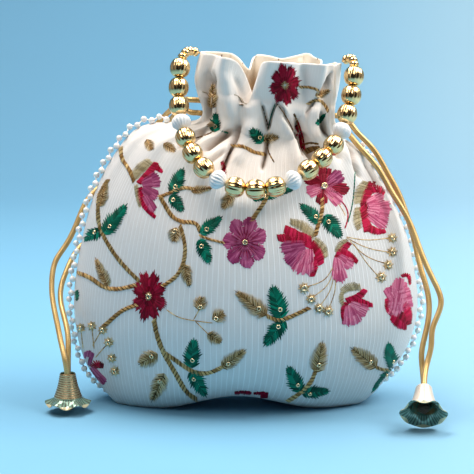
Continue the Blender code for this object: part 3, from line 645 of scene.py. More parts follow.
def panel_point(u, v, side):
    """The outer face of a panel, as in the CAD source: u runs from seam to seam, v from bottom to rim."""
    u, v = np.broadcast_arrays(np.asarray(u, float), np.asarray(v, float))
    left = natural_spline(OUTLINE_ROWS, LEFT_SEAM, v) * MM
    right = natural_spline(OUTLINE_ROWS, RIGHT_SEAM, v) * MM
    middle = natural_spline(OUTLINE_ROWS, MIDDLE, v) * MM
    across = np.sin(np.pi * u / 2)
    swell = np.maximum(np.cos(np.pi * u / 2), 0) ** (1.28 - 0.33 * smoothstep(0.6, NECK_ROW, v))
    half = (right[..., 0] - left[..., 0]) / 2
    depth = np.maximum(middle[..., 0], 1 * MM)
    x = (left[..., 0] + right[..., 0]) / 2 + half * across
    y = -middle[..., 0] * swell
    z = left[..., 1] + (right[..., 1] - left[..., 1]) * (across + 1) / 2
    z = z + (middle[..., 1] - (left[..., 1] + right[..., 1]) / 2) * swell

    gathered = np.exp(-np.maximum(NECK_ROW - v, 0) / PLEAT_RUN) * smoothstep(0.35, 0.6, v)
    frill = smoothstep(NECK_ROW, 1, v)
    stand = -(PLEAT_TROUGH * gathered * (1 - frill) + FRILL_TROUGH * frill) * smoothstep(0, 0.15, 1 - abs(u))
    for place, at_neck, at_rim, width, lean in FRONT_PLEATS if side == FRONT else BACK_PLEATS:
        middle_line = place + lean * np.maximum(NECK_ROW - v, 0)
        bump = np.exp(-((u - middle_line) / width) ** 2) * MM
        stand = stand + bump * (at_neck * gathered * (1 - frill) + at_rim * frill)
    valley = smoothstep(VALLEY_ROW, 1, v)
    for place, deep, drop, width in FRONT_VALLEYS if side == FRONT else BACK_VALLEYS:
        press = np.exp(-((u - place) / width) ** 2) * valley * MM
        stand = stand - deep * press
        z = z - drop * press
    along_x = across / half
    along_y = -swell / depth
    size = np.sqrt(along_x**2 + along_y**2) + 1e-9
    x = x + stand * along_x / size
    y = y + stand * along_y / size

    z = z + bottom_shift(x, z, v, swell)
    z = np.where(v > 0.02, np.maximum(z, 0), z)

    slot = np.exp(-((z - neck_height(x)) / SLOT_HEIGHT) ** 8)
    side_share = (across + 1) / 2
    low_end = SLOT_FROM_LEFT[0] + side_share * (SLOT_FROM_RIGHT[0] - SLOT_FROM_LEFT[0])
    open_from = SLOT_FROM_LEFT[1] + side_share * (SLOT_FROM_RIGHT[1] - SLOT_FROM_LEFT[1])
    slot = slot * smoothstep(low_end, open_from, v) * smoothstep(SLOT_TO[1], SLOT_TO[0], v)
    y = y - SEAM_GAP / 2 - (CORD_DIA / 2 + SLOT_CLEARANCE - SEAM_GAP / 2) * slot
    return np.stack([x, y if side == FRONT else -y, z], axis=-1)


def lining_point(u, v, side):
    inset = CLOTH + PLEAT_TROUGH + TOUCH
    left = natural_spline(OUTLINE_ROWS, LEFT_SEAM, v) * MM
    right = natural_spline(OUTLINE_ROWS, RIGHT_SEAM, v) * MM
    middle = natural_spline(OUTLINE_ROWS, MIDDLE, v) * MM
    across = np.sin(np.pi * u / 2)
    swell = np.maximum(np.cos(np.pi * u / 2), 0) ** (1.28 - 0.33 * smoothstep(0.6, NECK_ROW, v))
    half = (right[..., 0] - left[..., 0]) / 2 - inset
    x = (left[..., 0] + right[..., 0]) / 2 + half * across
    y = -np.maximum(middle[..., 0] - inset * smoothstep(0, 0.05, v), 0) * swell
    z = left[..., 1] + (right[..., 1] - left[..., 1]) * (across + 1) / 2
    z = z + (middle[..., 1] - (left[..., 1] + right[..., 1]) / 2) * swell
    z = z + bottom_shift(x, z, v, swell)
    z = z + 1.4 * inset * smoothstep(0.3, 0, v) - 1.2 * inset * smoothstep(0.55, 0.8, v)
    z = np.maximum(z, CLOTH + TOUCH)
    return np.stack([x, y if side == FRONT else -y, z], axis=-1)


# Folds seen in the photograph: pixels along the fold, half width in pixels, height in mm.
# A ridge is above 0 and a valley below it.
FOLDS = (
    # frill, left lobe
    (((209, 70), (209, 88), (211, 110), (215, 132)), 5.0, -7.0),
    (((198, 66), (199, 100), (206, 128)), 5.0, 1.0),
    (((225, 70), (228, 95), (232, 122)), 6.0, 2.4),
    (((233, 76), (241, 92), (240, 112)), 3.0, -1.5),
    # neck, from the left to the right
    (((239, 123), (236, 136), (230, 152), (222, 172)), 2.4, -8.0),
    (((252, 118), (245, 142), (236, 166)), 6.5, 2.4),
    (((262, 104), (266, 118), (268, 132)), 1.4, -5.0),
    (((268, 134), (266, 150), (262, 170)), 1.9, -6.0),
    (((276, 101), (271, 116), (268, 131)), 1.4, -5.0),
    (((281, 106), (288, 130), (296, 155), (301, 172)), 5.0, 3.2),
    (((276, 102), (284, 114), (294, 132), (304, 156)), 2.0, -8.0),
    (((296, 118), (301, 132), (308, 148), (316, 160)), 3.6, -8.0),
    (((312, 106), (309, 120), (316, 140), (326, 152)), 5.0, 2.2),
    (((322, 112), (324, 128), (332, 142), (340, 158)), 2.0, -7.0),
    (((333, 118), (342, 140), (352, 165)), 4.0, 1.8),
    (((344, 134), (352, 155), (360, 178)), 2.0, -6.0),
    (((356, 150), (366, 170), (376, 190)), 4.0, 1.2),
    (((363, 160), (371, 174), (378, 188)), 2.0, -4.0),
    # shoulder, left
    (((232, 130), (218, 139), (204, 150)), 2.4, -6.0),
    (((214, 135), (200, 146), (186, 154)), 5.0, 1.6),
    (((208, 126), (194, 139), (178, 148)), 2.4, -4.0),
    (((226, 150), (214, 158), (200, 172)), 2.4, -3.0),
    # frill, right of the flower
    (((303, 64), (305, 80), (302, 100)), 4.0, -1.6),
    (((334, 72), (326, 88), (316, 102)), 2.6, -5.0),
    (((316, 99), (309, 108), (306, 116)), 1.8, -4.0),
)


def fold_height(px, py):
    """How far the photograph's folds lift or press the front panel at a pixel, in metres."""
    height = np.zeros_like(px)
    for line, width, lift in FOLDS:
        line = smooth_route(line, 24) if len(line) > 2 else np.linspace(line[0], line[1], 24)
        nearest = np.full(px.shape, 1e9)
        end_fade = np.ones_like(px)
        for i, (x, y) in enumerate(line):
            off = np.hypot(px - x, py - y)
            fade = min(1.0, min(i, len(line) - 1 - i) / 5 + 0.15)
            closer = off < nearest
            nearest = np.where(closer, off, nearest)
            end_fade = np.where(closer, fade, end_fade)
        height += lift * MM * end_fade * np.exp(-(nearest / width) ** 2)
    return height


def soft_creases(u, v, side):
    """Small folds that fan out from the neck and pucker along the seams, in metres."""
    lean = 0.35 if side == FRONT else -0.2
    fan = np.sin(31 * u + lean * 9 * (0.85 - v)) + 0.6 * np.sin(53 * u + 7 * v + 1.3)
    near_neck = np.exp(-((v - 0.80) / 0.17) ** 2)
    body = 0.5 * np.sin(9 * u + 5 * v) * np.sin(6.5 * v + 2 * u + 0.7)
    seam = np.exp(-(1 - np.abs(u)) / 0.035) * np.sin(150 * v + 2 * np.sin(20 * v))
    hem = np.exp(-v / 0.03) * np.sin(64 * u)
    return MM * (0.30 * fan * near_neck + 0.45 * body * (1 - near_neck) + 0.22 * seam + 0.15 * hem)


def panel_grid(side):
    """Points of a panel, its cloth coordinates, and how deep in a fold each point lies, 0 to 1."""
    u = np.linspace(-1, 1, PANEL_COLUMNS + 1)[None, :]
    half_rows = PANEL_ROWS // 2
    upper = np.linspace(NECK_LOW, 1, half_rows + 2)[1:]
    v = np.concatenate([np.linspace(0, NECK_LOW, half_rows), upper])
    u, v = np.broadcast_arrays(u, v[:, None])
    points = panel_point(u, v, side)
    for place, drop, width in MOUTH_DROPS[side]:
        points[..., 2] -= drop * MM * np.exp(-((u - place) / width) ** 2) * smoothstep(0.86, 1, v)
    du = np.gradient(points, axis=1)
    dv = np.gradient(points, axis=0)
    normal = np.cross(du, dv)
    normal /= np.linalg.norm(normal, axis=-1, keepdims=True) + 1e-12
    if side == BACK:
        normal = -normal
    lift = soft_creases(u, v, side)
    seen = points.copy()
    if side == BACK:
        seen[..., 1] *= -1
    px, py = photo_pixels(seen)
    facing = np.clip(-normal[..., 1] if side == FRONT else normal[..., 1], 0, 1)
    folds = fold_height(px, py) * smoothstep(0.05, 0.30, facing)
    lift = lift + folds
    hold = smoothstep(0, 0.05, 1 - np.abs(u)) * smoothstep(0, 0.03, v)
    points = points + normal * (lift * hold)[..., None]
    points[..., 2] = np.where(v > 0.02, np.maximum(points[..., 2], 0), points[..., 2])
    if side == FRONT:
        points[..., 1] = np.minimum(points[..., 1], -SEAM_GAP / 2)
    else:
        points[..., 1] = np.maximum(points[..., 1], SEAM_GAP / 2)
    # crease: how deep a point lies in one of the FOLDS valleys; the silk paints it as shade.
    crease = np.clip(-folds / (5.5 * MM), 0, 1) ** 1.3 * (1.0 if side == FRONT else 0.5)
    return points, np.stack([135 * u, 265 * v], axis=-1), crease


def add_panel(name, side, outside, inside):
    points, uv, crease = panel_grid(side)
    if side == BACK:
        points, uv, crease = points[:, ::-1], uv[:, ::-1], crease[:, ::-1]
    patch = Patches()
    patch.add(points, uv)
    panel = patch.make(name, outside, None)
    layer = panel.data.attributes.new("crease", "FLOAT", "POINT")
    layer.data.foreach_set("value", crease.astype(np.float32).ravel())
    panel.data.materials.append(inside)
    shell = panel.modifiers.new("thickness", "SOLIDIFY")
    shell.thickness = CLOTH
    shell.offset = -1
    shell.material_offset = 1
    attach(panel, "bag")
    return panel, points


def casing_rings(turn, panels):
    """Rings that carry the lining up inside the drawstring to the inner face of the frill."""
    front = turn <= 2
    u = np.where(front, turn - 1, 3 - turn)
    tops = []
    for points in panels:
        row = points[int(len(points) * CASING_TOP)]
        places = np.linspace(-1, 1, len(row))
        tops.append(np.stack([np.interp(u, places, row[:, axis]) for axis in range(3)], axis=-1))
    top = np.where(front[:, None], *tops)
    inward = (np.array([CHANNEL_X, 0, 0]) - top) * (1, 1, 0)
    inward /= np.linalg.norm(inward, axis=-1, keepdims=True)
    top = top + inward * (CLOTH + LINING_CLOTH + TOUCH)
    x = CHANNEL_X + (CHANNEL_HALF_WIDTH - CASING_CLEARANCE) * np.sin(np.pi * u / 2)
    y = np.where(front, -1, 1) * (CHANNEL_HALF_DEPTH - CASING_CLEARANCE) * np.cos(np.pi * u / 2)
    pleats = inward * (CASING_PLEAT * np.abs(np.sin(np.pi * CASING_PLEATS * turn / 4)))[:, None]
    rings = []
    for rise in (-8, -4, 0, 4, 7):
        z = np.minimum(neck_height(x) + rise * MM, top[:, 2] - (9 - rise) * 0.4 * MM)
        rings.append(np.stack([x, y, z], axis=-1) + pleats)
    rings.append((rings[-1] + top) / 2 + inward * 0.5 * MM)
    return np.stack(rings + [top])


def add_lining(material, panels):
    columns = 320
    rows = np.linspace(0, 0.78, 46)[:, None]
    turn = np.linspace(0, 4, columns, endpoint=False)[None, :]
    u = np.where(turn <= 2, turn - 1, 3 - turn)
    front = lining_point(*np.broadcast_arrays(u, rows), FRONT)
    back = lining_point(*np.broadcast_arrays(u, rows), BACK)
    points = np.where((turn <= 2)[..., None], front, back)
    crease = 0.5 * MM * np.sin(turn * math.pi * 7) * smoothstep(0.2, 0.8, rows)
    points[..., 1] -= np.sign(points[..., 1]) * np.abs(crease)
    points = np.concatenate([points, casing_rings(turn[0], panels)])
    rows = np.linspace(0, 0.93, len(points))[:, None]
    uv = np.stack(np.broadcast_arrays(turn * 100, rows * 200), axis=-1)
    patch = Patches()
    patch.add(points, uv, wrap=True)
    lining = patch.make("lining_pouch", material, None)
    shell = lining.modifiers.new("thickness", "SOLIDIFY")
    shell.thickness = LINING_CLOTH
    shell.offset = -1
    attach(lining, "bag")
    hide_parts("lining")


# Embroidery

class Ground:
    """The cloth that a motif is sewn on, reached through the photograph's pixels."""

    def __init__(self, points, side):
        rows, columns = points.shape[:2]
        seen = points.copy()
        if side == BACK:
            seen[..., 1] *= -1
        index = np.arange(rows * columns).reshape(rows, columns)
        quads = np.stack([index[:-1, :-1], index[:-1, 1:], index[1:, 1:], index[1:, :-1]], axis=-1)
        self.tree = BVHTree.FromPolygons(seen.reshape(-1, 3).tolist(), quads.reshape(-1, 4).tolist())
        self.side = side
        self.eye = Vector(CAMERA_AT)

    def at(self, px, py, lift):
        """The point on the cloth behind a pixel, raised by lift; None where the cloth isn't there."""
        ray = photo_ray(px, py)
        hit, normal, _, _ = self.tree.ray_cast(self.eye, ray)
        if hit is None:
            return None
        if normal.dot(ray) > 0:
            normal = -normal
        point = hit + normal * lift
        point.z = max(point.z, 0.0)
        if self.side == BACK:
            point.y = -point.y
            normal = Vector((normal.x, -normal.y, normal.z))
        return point, normal

    def grid(self, pixels, lift):
        """Points for a grid of pixels, or None where any of it misses the cloth."""
        out = np.zeros(pixels.shape[:2] + (3,))
        for i in range(pixels.shape[0]):
            for j in range(pixels.shape[1]):
                found = self.at(pixels[i, j, 0], pixels[i, j, 1], lift[i][j])
                if found is None:
                    return None
                out[i, j] = found[0]
        return out


class Needle:
    """Lays stitches of each thread on one panel."""

    def __init__(self, ground):
        self.ground = ground
        self.work = {}

    def patches(self, name):
        return self.work.setdefault(name, Patches())

    def stitch(self, start, end, width, name, lift=0.45, pointed=False):
        """One raised strand from start to end in pixels, width pixels wide; lift in mm."""
        start, end = np.asarray(start, float), np.asarray(end, float)
        run = end - start
        length = np.hypot(*run)
        if length < 0.3:
            return
        side = np.array([-run[1], run[0]]) / length
        steps = max(2, min(6, round(length / 3.0)))
        share = np.linspace(0, 1, steps + 1)
        taper = 0.45 + 0.55 * np.sin(math.pi * (0.12 + 0.76 * share))
        if pointed:
            taper = taper * (1 - 0.88 * share**1.7)
        middle = start + np.outer(share, run)
        pixels = np.stack([middle + side * (width / 2 * k * taper)[:, None] for k in (-1, 0, 1)], axis=1)
        raised = 0.3 + 0.7 * np.sin(math.pi * np.clip(share * 0.8 + 0.1, 0, 1))
        lifts = [[0.05 * MM, lift * MM * r, 0.05 * MM] for r in raised]
        points = self.ground.grid(pixels, lifts)
        if points is None:
            return
        own = rng.randrange(10)
        uv = np.zeros(points.shape[:2] + (2,))
        uv[..., 0] = (share * length * 0.6)[:, None]
        uv[..., 1] = own + np.array([0.02, 0.5, 0.98])[None, :]
        self.patches(name).add(points[:, ::-1] if self.ground.side == BACK else points, uv)

    def rope(self, line, width, light="gold", dark="rope_dark", pitch=1.25):
        """A vine of slanting stitches that lie like the strands of a rope."""
        line = np.asarray(line, float)
        length = route_length(line)
        count = max(4, round(length / pitch))
        path = smooth_route(line, count) if len(line) > 2 else np.linspace(line[0], line[1], count)
        tangent = np.gradient(path, axis=0)
        tangent /= np.linalg.norm(tangent, axis=1, keepdims=True) + 1e-9
        for i, (point, way) in enumerate(zip(path, tangent)):
            side = np.array([-way[1], way[0]])
            half = width / 2 * rng.uniform(0.85, 1.12)
            start = point - side * half - way * 1.5
            end = point + side * half + way * 1.5
            self.stitch(start, end, 1.5, dark if i % 3 == 2 else light, 0.55 if i % 3 == 2 else 0.9)

    def line(self, line, width, name, lift=0.35):
        """A thin couched thread."""
        line = np.asarray(line, float)
        count = max(3, round(route_length(line) / 3.2))
        path = smooth_route(line, count) if len(line) > 2 else np.linspace(line[0], line[1], count)
        for start, end in zip(path[:-1], path[1:]):
            reach = (end - start) * 0.15
            self.stitch(start - reach, end + reach, width, name, lift)

    def leaf(self, base, tip, width, name, tooth=2.7, thin=1.0, spread=1.3, sequin=True):
        """Two rows of slanting stitches from the midrib, their points free along the edge."""
        base, tip = np.asarray(base, float), np.asarray(tip, float)
        run = tip - base
        length = np.hypot(*run)
        way = run / length
        side = np.array([-way[1], way[0]])
        barbs = max(5, round(length / tooth))
        pitch = length / barbs
        for k in range(barbs):
            t = (k + 0.2) / barbs * 0.86
            rib = base + run * t
            half = spread * width / 2 * min(1.0, 0.66 + 1.5 * t) * (1 - t / 0.9) ** 0.7 + 0.5
            for hand in (-1, 1):
                out = half * rng.uniform(0.86, 1.12)
                slant = out * (0.50 + 0.45 * t) + 0.06 * length * t
                end = rib + side * hand * out + way * slant
                self.stitch(rib - way * 0.5, end, 1.45 * pitch * thin + 0.2, name, 0.65, pointed=True)
        for turn in (-0.10, 0.0, 0.10):
            self.stitch(base + run * 0.62, tip - run * abs(turn) + side * turn * width * 0.8,
                        1.2 * pitch * thin + 0.4, name, 0.5, pointed=True)
        if sequin:
            self.sequin(base + run * 0.24 + side * width * 0.06, 2.3)

    def feather(self, base, tip, width, sequin):
        """A gold leaf of fine, loose stitches round a corded rib."""
        self.leaf(base, tip, width, "bronze", 2.6, 0.6, 1.0, False)
        self.leaf(base, tip, width, "gold_thread", 1.5, 0.62, 1.5, sequin)
        base, tip = np.asarray(base, float), np.asarray(tip, float)
        self.line([base, base + (tip - base) * 0.8], 1.2, "bronze", 0.85)

    def band(self, line, start_width, end_width, name, lift=0.5, slant=0.35):
        """Satin stitches laid side by side across a line."""
        line = np.asarray(line, float)
        count = max(3, round(route_length(line) / 1.25))
        path = smooth_route(line, count) if len(line) > 2 else np.linspace(line[0], line[1], count)
        tangent = np.gradient(path, axis=0)
        tangent /= np.linalg.norm(tangent, axis=1, keepdims=True) + 1e-9
        for i, (point, way) in enumerate(zip(path, tangent)):
            share = i / (count - 1)
            half = (start_width + (end_width - start_width) * share) / 2
            half *= 0.55 + 0.45 * math.sin(math.pi * min(1.0, 0.25 + share * 0.72))
            side = np.array([-way[1], way[0]])
            near = point - (side + way * slant) * half * rng.uniform(0.9, 1.08)
            far = point + (side + way * slant) * half * rng.uniform(0.9, 1.08)
            self.stitch(near, far, 1.15 if name == "gold_net" else 1.75, name, lift)
            if name == "gold_net" and i % 3 == 0:
                for low, high in ((-0.5, -0.3), (0.4, 0.6)):
                    start = point - way * 1.6 + side * half * low
                    end = point + way * 1.6 + side * half * high
                    self.stitch(start, end, 0.8, name, lift)

    def petal(self, base, tip, start_width, end_width, name, ragged=0.12, crown=0.15, lift=0.6):
        """Strands that spread from a narrow base to a rounded or ragged end."""
        base, tip = np.asarray(base, float), np.asarray(tip, float)
        run = tip - base
        length = np.hypot(*run)
        way = run / length
        side = np.array([-way[1], way[0]])
        strands = max(4, round(max(start_width, end_width) / 1.15))
        for k in range(strands):
            share = (k + 0.5) / strands * 2 - 1
            start = base + side * share * start_width / 2
            reach = length * (1 - crown * share * share) * rng.uniform(1 - ragged, 1.0)
            end = base + side * share * end_width / 2 + way * reach
            thick = 1.45 * max(start_width, end_width) / strands
            middle = start + (end - start) * rng.uniform(0.45, 0.6)
            self.stitch(start, middle + (end - start) * 0.08, thick, name, lift)
            self.stitch(middle, end, thick, name, lift - 0.05)

    def flower(self, centre, reach, petals, name, turn=0.0, ragged=0.12, notch=0.30, core="gold_thread",
               core_size=0.26, sequin=2.8, veins=None):
        """Radial stitches whose reach swells over each petal; reach is (right, up) in pixels."""
        centre = np.asarray(centre, float)
        strands = petals * 10
        around = 2 * math.pi * max(reach) / strands
        for ring, (low, high, thick) in enumerate(((0.10, 0.42, 0.62), (0.34, 0.74, 0.95), (0.62, 1.0, 1.25))):
            for k in range(strands):
                angle = 2 * math.pi * (k + 0.5 * ring) / strands + turn
                lobe = abs(math.cos(petals * (angle - turn) / 2)) ** 0.6
                size = (1 - notch + notch * lobe) * rng.uniform(1 - ragged, 1.0) if ring == 2 else 1 - notch * 0.5
                if ring == 1:
                    size = 1 - notch + notch * lobe
                way = np.array([math.cos(angle) * reach[0], -math.sin(angle) * reach[1]])
                self.stitch(centre + way * low, centre + way * high * size, around * thick, name,
                            0.75 - 0.1 * ring, pointed=ring == 2 and ragged > 0.1)
        for k in range(petals * 3 if veins else 0):
            angle = 2 * math.pi * (k + 0.2) / (petals * 3) + turn
            way = np.array([math.cos(angle) * reach[0], -math.sin(angle) * reach[1]])
            self.stitch(centre + way * 0.2, centre + way * rng.uniform(0.45, 0.72), 0.9, veins, 0.95)
        if core:
            for k in range(14):
                angle = 2 * math.pi * k / 14
                way = np.array([math.cos(angle) * reach[0], -math.sin(angle) * reach[1]])
                self.stitch(centre + way * 0.05, centre + way * core_size * rng.uniform(0.7, 1.15), 1.1, core, 0.95)
        if sequin:
            self.sequin(centre, sequin)

    def sequin(self, centre, radius):
        """A small gold ring, radius in pixels, sewn flat on the stitches."""
        found = self.ground.at(centre[0], centre[1], 0.75 * MM)
        if found is None:
            return
        point, normal = found
        side = normal.orthogonal().normalized()
        other = normal.cross(side)
        radius = radius * 0.6 * MM
        around = np.linspace(0, 2 * math.pi, 18, endpoint=False)
        section = [(1.0, 0.0), (0.92, 0.30), (0.72, 0.38), (0.52, 0.22), (0.44, -0.1)]
        grid = np.zeros((len(section), len(around), 3))
        for i, (share, height) in enumerate(section):
            for j, angle in enumerate(around):
                spot = point + (side * math.cos(angle) + other * math.sin(angle)) * radius * share
                grid[i, j] = spot + normal * radius * height
        uv = np.zeros(grid.shape[:2] + (2,))
        uv[..., 0] = np.arange(len(section))[:, None]
        uv[..., 1] = rng.randrange(10) + 0.5
        self.patches("sequin").add(grid, uv, wrap=True)

    def floret(self, centre, radius):
        """A little gold flower with a sequin in it."""
        centre = np.asarray(centre, float)
        for k in range(16):
            angle = 2 * math.pi * k / 16 + 0.2
            way = np.array([math.cos(angle), math.sin(angle)]) * radius
            size = 1.0 if k % 2 else 0.8
            self.stitch(centre + way * 0.3, centre + way * size, 1.3, "gold_thread", 0.8)
        self.sequin(centre, radius * 0.52)


GREEN_LEAVES = (  # base, tip, width
    ((172, 193), (184, 167), 15), ((171, 196), (184, 212), 13), ((104, 233), (128, 203), 16),
    ((100, 231), (82, 240), 13), ((201, 233), (223, 216), 14), ((200, 240), (210, 265), 14),
    ((320, 222), (299, 203), 13), ((325, 216), (342, 239), 16), ((281, 318), (272, 284), 20),
    ((284, 321), (263, 347), 17), ((191, 367), (194, 337), 17), ((191, 372), (207, 398), 16),
    ((300, 391), (287, 365), 16), ((303, 393), (331, 391), 13), ((393, 368), (388, 341), 14),
    ((391, 370), (371, 393), 9), ((253, 198), (297, 188), 11), ((214, 131), (216, 112), 11),
    ((262, 142), (250, 128), 13), ((76, 300), (74, 279), 7), ((317, 124), (326, 113), 4),
)
GOLD_LEAVES = (
    ((192, 191), (213, 188), 7), ((176, 228), (174, 243), 12), ((184, 265), (190, 288), 10),
    ((108, 286), (95, 257), 9), ((157, 354), (138, 365), 14), ((164, 374), (151, 403), 13),
    ((222, 367), (247, 349), 12), ((266, 315), (234, 290), 14), ((316, 372), (323, 340), 14),
    ((376, 367), (350, 347), 14), ((232, 194), (222, 210), 11), ((212, 108), (213, 82), 9),
    ((147, 140), (152, 151), 8), ((164, 144), (176, 152), 8), ((100, 206), (107, 181), 9),
    ((316, 96), (331, 90), 7), ((263, 139), (280, 137), 9),
)
GOLD_BUDS = (
    ((199, 310), (202, 296), 12), ((213, 319), (225, 313), 13), ((208, 334), (222, 343), 11),
)
VINES = (  # line, width
    (((121, 148), (122, 158), (128, 168), (134, 181)), 4.0),
    (((108, 180), (100, 195), (98, 210), (100, 227), (108, 244), (119, 260), (139, 281)), 4.0),
    (((160, 197), (166, 207), (172, 216), (184, 222), (196, 224), (200, 231)), 4.2),
    (((160, 197), (172, 192), (184, 188), (196, 190)), 3.6),
    (((180, 226), (184, 240), (184, 260), (178, 274), (163, 286)), 4.0),
    (((78, 273), (92, 279), (104, 287), (118, 289), (136, 285)), 4.2),
    (((137, 305), (122, 311), (111, 320), (103, 327)), 4.2),
    (((154, 320), (158, 338), (165, 355), (177, 376), (190, 395), (206, 403)), 4.8),
    (((163, 352), (178, 362), (192, 371), (208, 373), (222, 367)), 4.2),
    (((267, 316), (278, 320), (290, 317), (309, 308)), 4.2),
    (((268, 194), (263, 204), (256, 214), (252, 221)), 4.2),
    (((322, 199), (322, 210), (319, 222), (315, 236)), 4.2),
    (((288, 401), (300, 393), (310, 383), (316, 370)), 4.2),
    (((232, 146), (244, 147), (254, 152), (265, 154)), 3.6),
    (((376, 367), (386, 370), (396, 368)), 3.6),
    (((308, 104), (313, 101), (320, 101), (328, 111)), 3.0),
    (((200, 236), (212, 240), (224, 243)), 2.4),
    (((300, 87), (312, 88), (320, 91)), 2.6),
)
THIN_LINES = (  # line, width, thread
    (((167, 310), (176, 316), (190, 320), (212, 323)), 1.1, "gold"), (((194, 319), (199, 310)), 1.1, "gold"),
    (((196, 322), (208, 334)), 1.1, "gold"),
    (((347, 237), (368, 240), (388, 238)), 1.0, "gold"), (((347, 238), (368, 248), (388, 252)), 1.0, "gold"),
    (((350, 241), (368, 257), (384, 263)), 1.0, "gold"), (((354, 244), (366, 262), (377, 275)), 1.0, "gold"),
    (((333, 267), (326, 278), (305, 287)), 1.0, "gold"), (((334, 268), (328, 284), (311, 298)), 1.0, "gold"),
    (((334, 268), (331, 288), (319, 307)), 1.0, "gold"), (((335, 268), (335, 290), (328, 310)), 1.0, "gold"),
    (((81, 330), (83, 348)), 1.2, "gold"), (((92, 329), (94, 348)), 1.2, "gold"),
    (((101, 331), (93, 345)), 1.2, "gold"), (((108, 343), (96, 357)), 1.2, "gold"),
    # tail of the flower of two reds, and the dotted stem of the right tulip
    (((334, 196), (343, 203), (348, 214), (345, 228)), 1.6, "red"),
    (((331, 197), (340, 206), (345, 215)), 1.0, "gold"),
    (((355, 172), (354, 190), (352, 206), (348, 222)), 1.4, "green"),
    # dark threads laid along the fold valleys at the neck: partly stitches caught in the gathers, partly painted
    # shade of the creases
    (((262, 106), (266, 118), (268, 130)), 1.3, "bronze"), (((275, 104), (271, 116), (268, 130)), 1.3, "green"),
    (((268, 134), (268, 150), (274, 162)), 1.6, "bronze"), (((277, 104), (285, 115), (293, 130)), 1.3, "bronze"),
    (((294, 114), (299, 126), (303, 140)), 2.4, "bronze"), (((298, 122), (302, 134), (305, 150)), 1.8, "crimson"),
    (((301, 146), (309, 143), (318, 144)), 2.4, "bronze"), (((231, 148), (226, 160), (221, 172)), 1.3, "bronze"),
    (((212, 129), (222, 131), (228, 133)), 2.2, "green"), (((196, 138), (208, 134), (216, 130)), 1.6, "bronze"),
)
FLORETS = (
    (81, 328, 5.0), (92, 326, 5.0), (103, 330, 5.0), (109, 342, 5.5), (112, 358, 5.0), (115, 371, 5.5),
    (304, 288, 6.0), (311, 299, 5.5), (319, 308, 5.5), (328, 311, 6.0),
    (392, 238, 5.5), (392, 252, 5.5), (388, 265, 5.5), (381, 277, 6.0),
)
BANDS = (  # line, width at its start, width at its end, thread, lift in mm
    # left tulip
    (((134, 178), (141, 168), (150, 161)), 9, 13, "gold_net", 0.45),
    (((136, 186), (138, 196), (140, 206)), 5, 6, "gold_net", 0.45),
    (((139, 183), (148, 174), (156, 163)), 6, 9, "red", 0.65),
    (((153, 166), (158, 168), (162, 172)), 7, 5, "red", 0.65),
    (((140, 188), (142, 200), (147, 209), (155, 217)), 6, 6, "red", 0.65),
    # middle tulip
    (((314, 236), (304, 227), (291, 222)), 9, 12, "gold_net", 0.45),
    (((315, 240), (322, 246), (326, 257)), 7, 9, "gold_net", 0.45),
    (((311, 240), (297, 236), (285, 229)), 10, 13, "red", 0.65),
    (((300, 241), (289, 239), (278, 238)), 9, 11, "red", 0.65),
    (((312, 243), (318, 252), (321, 264)), 8, 11, "red", 0.65),
    (((313, 258), (314, 266), (312, 276)), 7, 9, "red", 0.5),
    (((300, 240), (307, 243), (312, 248)), 8, 8, "red", 0.55),
    # right tulip
    (((358, 203), (360, 192), (366, 182)), 10, 12, "gold_net", 0.45),
    (((358, 208), (357, 219), (359, 229)), 8, 10, "gold_net", 0.45),
    (((363, 203), (368, 192), (372, 182)), 7, 12, "red", 0.65),
    (((371, 190), (378, 189), (384, 193)), 9, 8, "red", 0.65),
    (((362, 207), (366, 219), (367, 231)), 8, 11, "red", 0.65),
    (((361, 204), (366, 206), (370, 209)), 8, 8, "crimson", 0.5),
    (((367, 227), (376, 231), (385, 231)), 9, 7, "red", 0.65),
    # small tulip under it
    (((338, 251), (341, 244), (347, 240)), 8, 6, "gold_net", 0.45),
    (((337, 257), (343, 249), (349, 243)), 6, 9, "red", 0.65),
    (((342, 252), (350, 256), (357, 262)), 8, 7, "red", 0.65),
    # small tulip below
    (((343, 291), (350, 287), (360, 287)), 8, 11, "gold_net", 0.45),
    (((343, 305), (341, 297), (343, 291)), 5, 6, "gold_net", 0.45),
    (((347, 301), (356, 298), (365, 290)), 7, 9, "red", 0.65),
    (((356, 300), (364, 303), (372, 305)), 8, 7, "red", 0.65),
    (((346, 303), (343, 311), (343, 320)), 6, 4, "red", 0.65),
    # right flower, seen from the side
    (((404, 304), (408, 312), (409, 324)), 9, 8, "red", 0.65),
    (((392, 317), (399, 324), (406, 327)), 8, 10, "red", 0.65),
    (((398, 314), (403, 318), (407, 322)), 10, 9, "crimson", 0.5),
    (((402, 276), (407, 275), (410, 284)), 4, 4, "red", 0.65),
    (((387, 299), (388, 309), (394, 317)), 5, 6, "red", 0.5),
    # lower left cluster
    (((80, 347), (79, 356), (82, 364)), 7, 7, "red", 0.6),
    (((92, 368), (97, 364), (103, 366)), 9, 8, "crimson", 0.6),
    (((84, 366), (88, 370), (92, 374)), 5, 5, "gold_net", 0.45),
    (((86, 372), (94, 381), (101, 389)), 3, 3, "rope_dark", 0.5),
    # small reds and a dark band in the folds at the neck: partly embroidery, partly painted shade of the folds
    (((222, 162), (224, 168), (224, 176)), 4, 6, "crimson", 0.4),
    (((296, 126), (299, 138), (303, 150)), 4, 6, "crimson", 0.4),
    (((304, 152), (312, 149), (319, 147)), 7, 5, "rope_dark", 0.4),
)
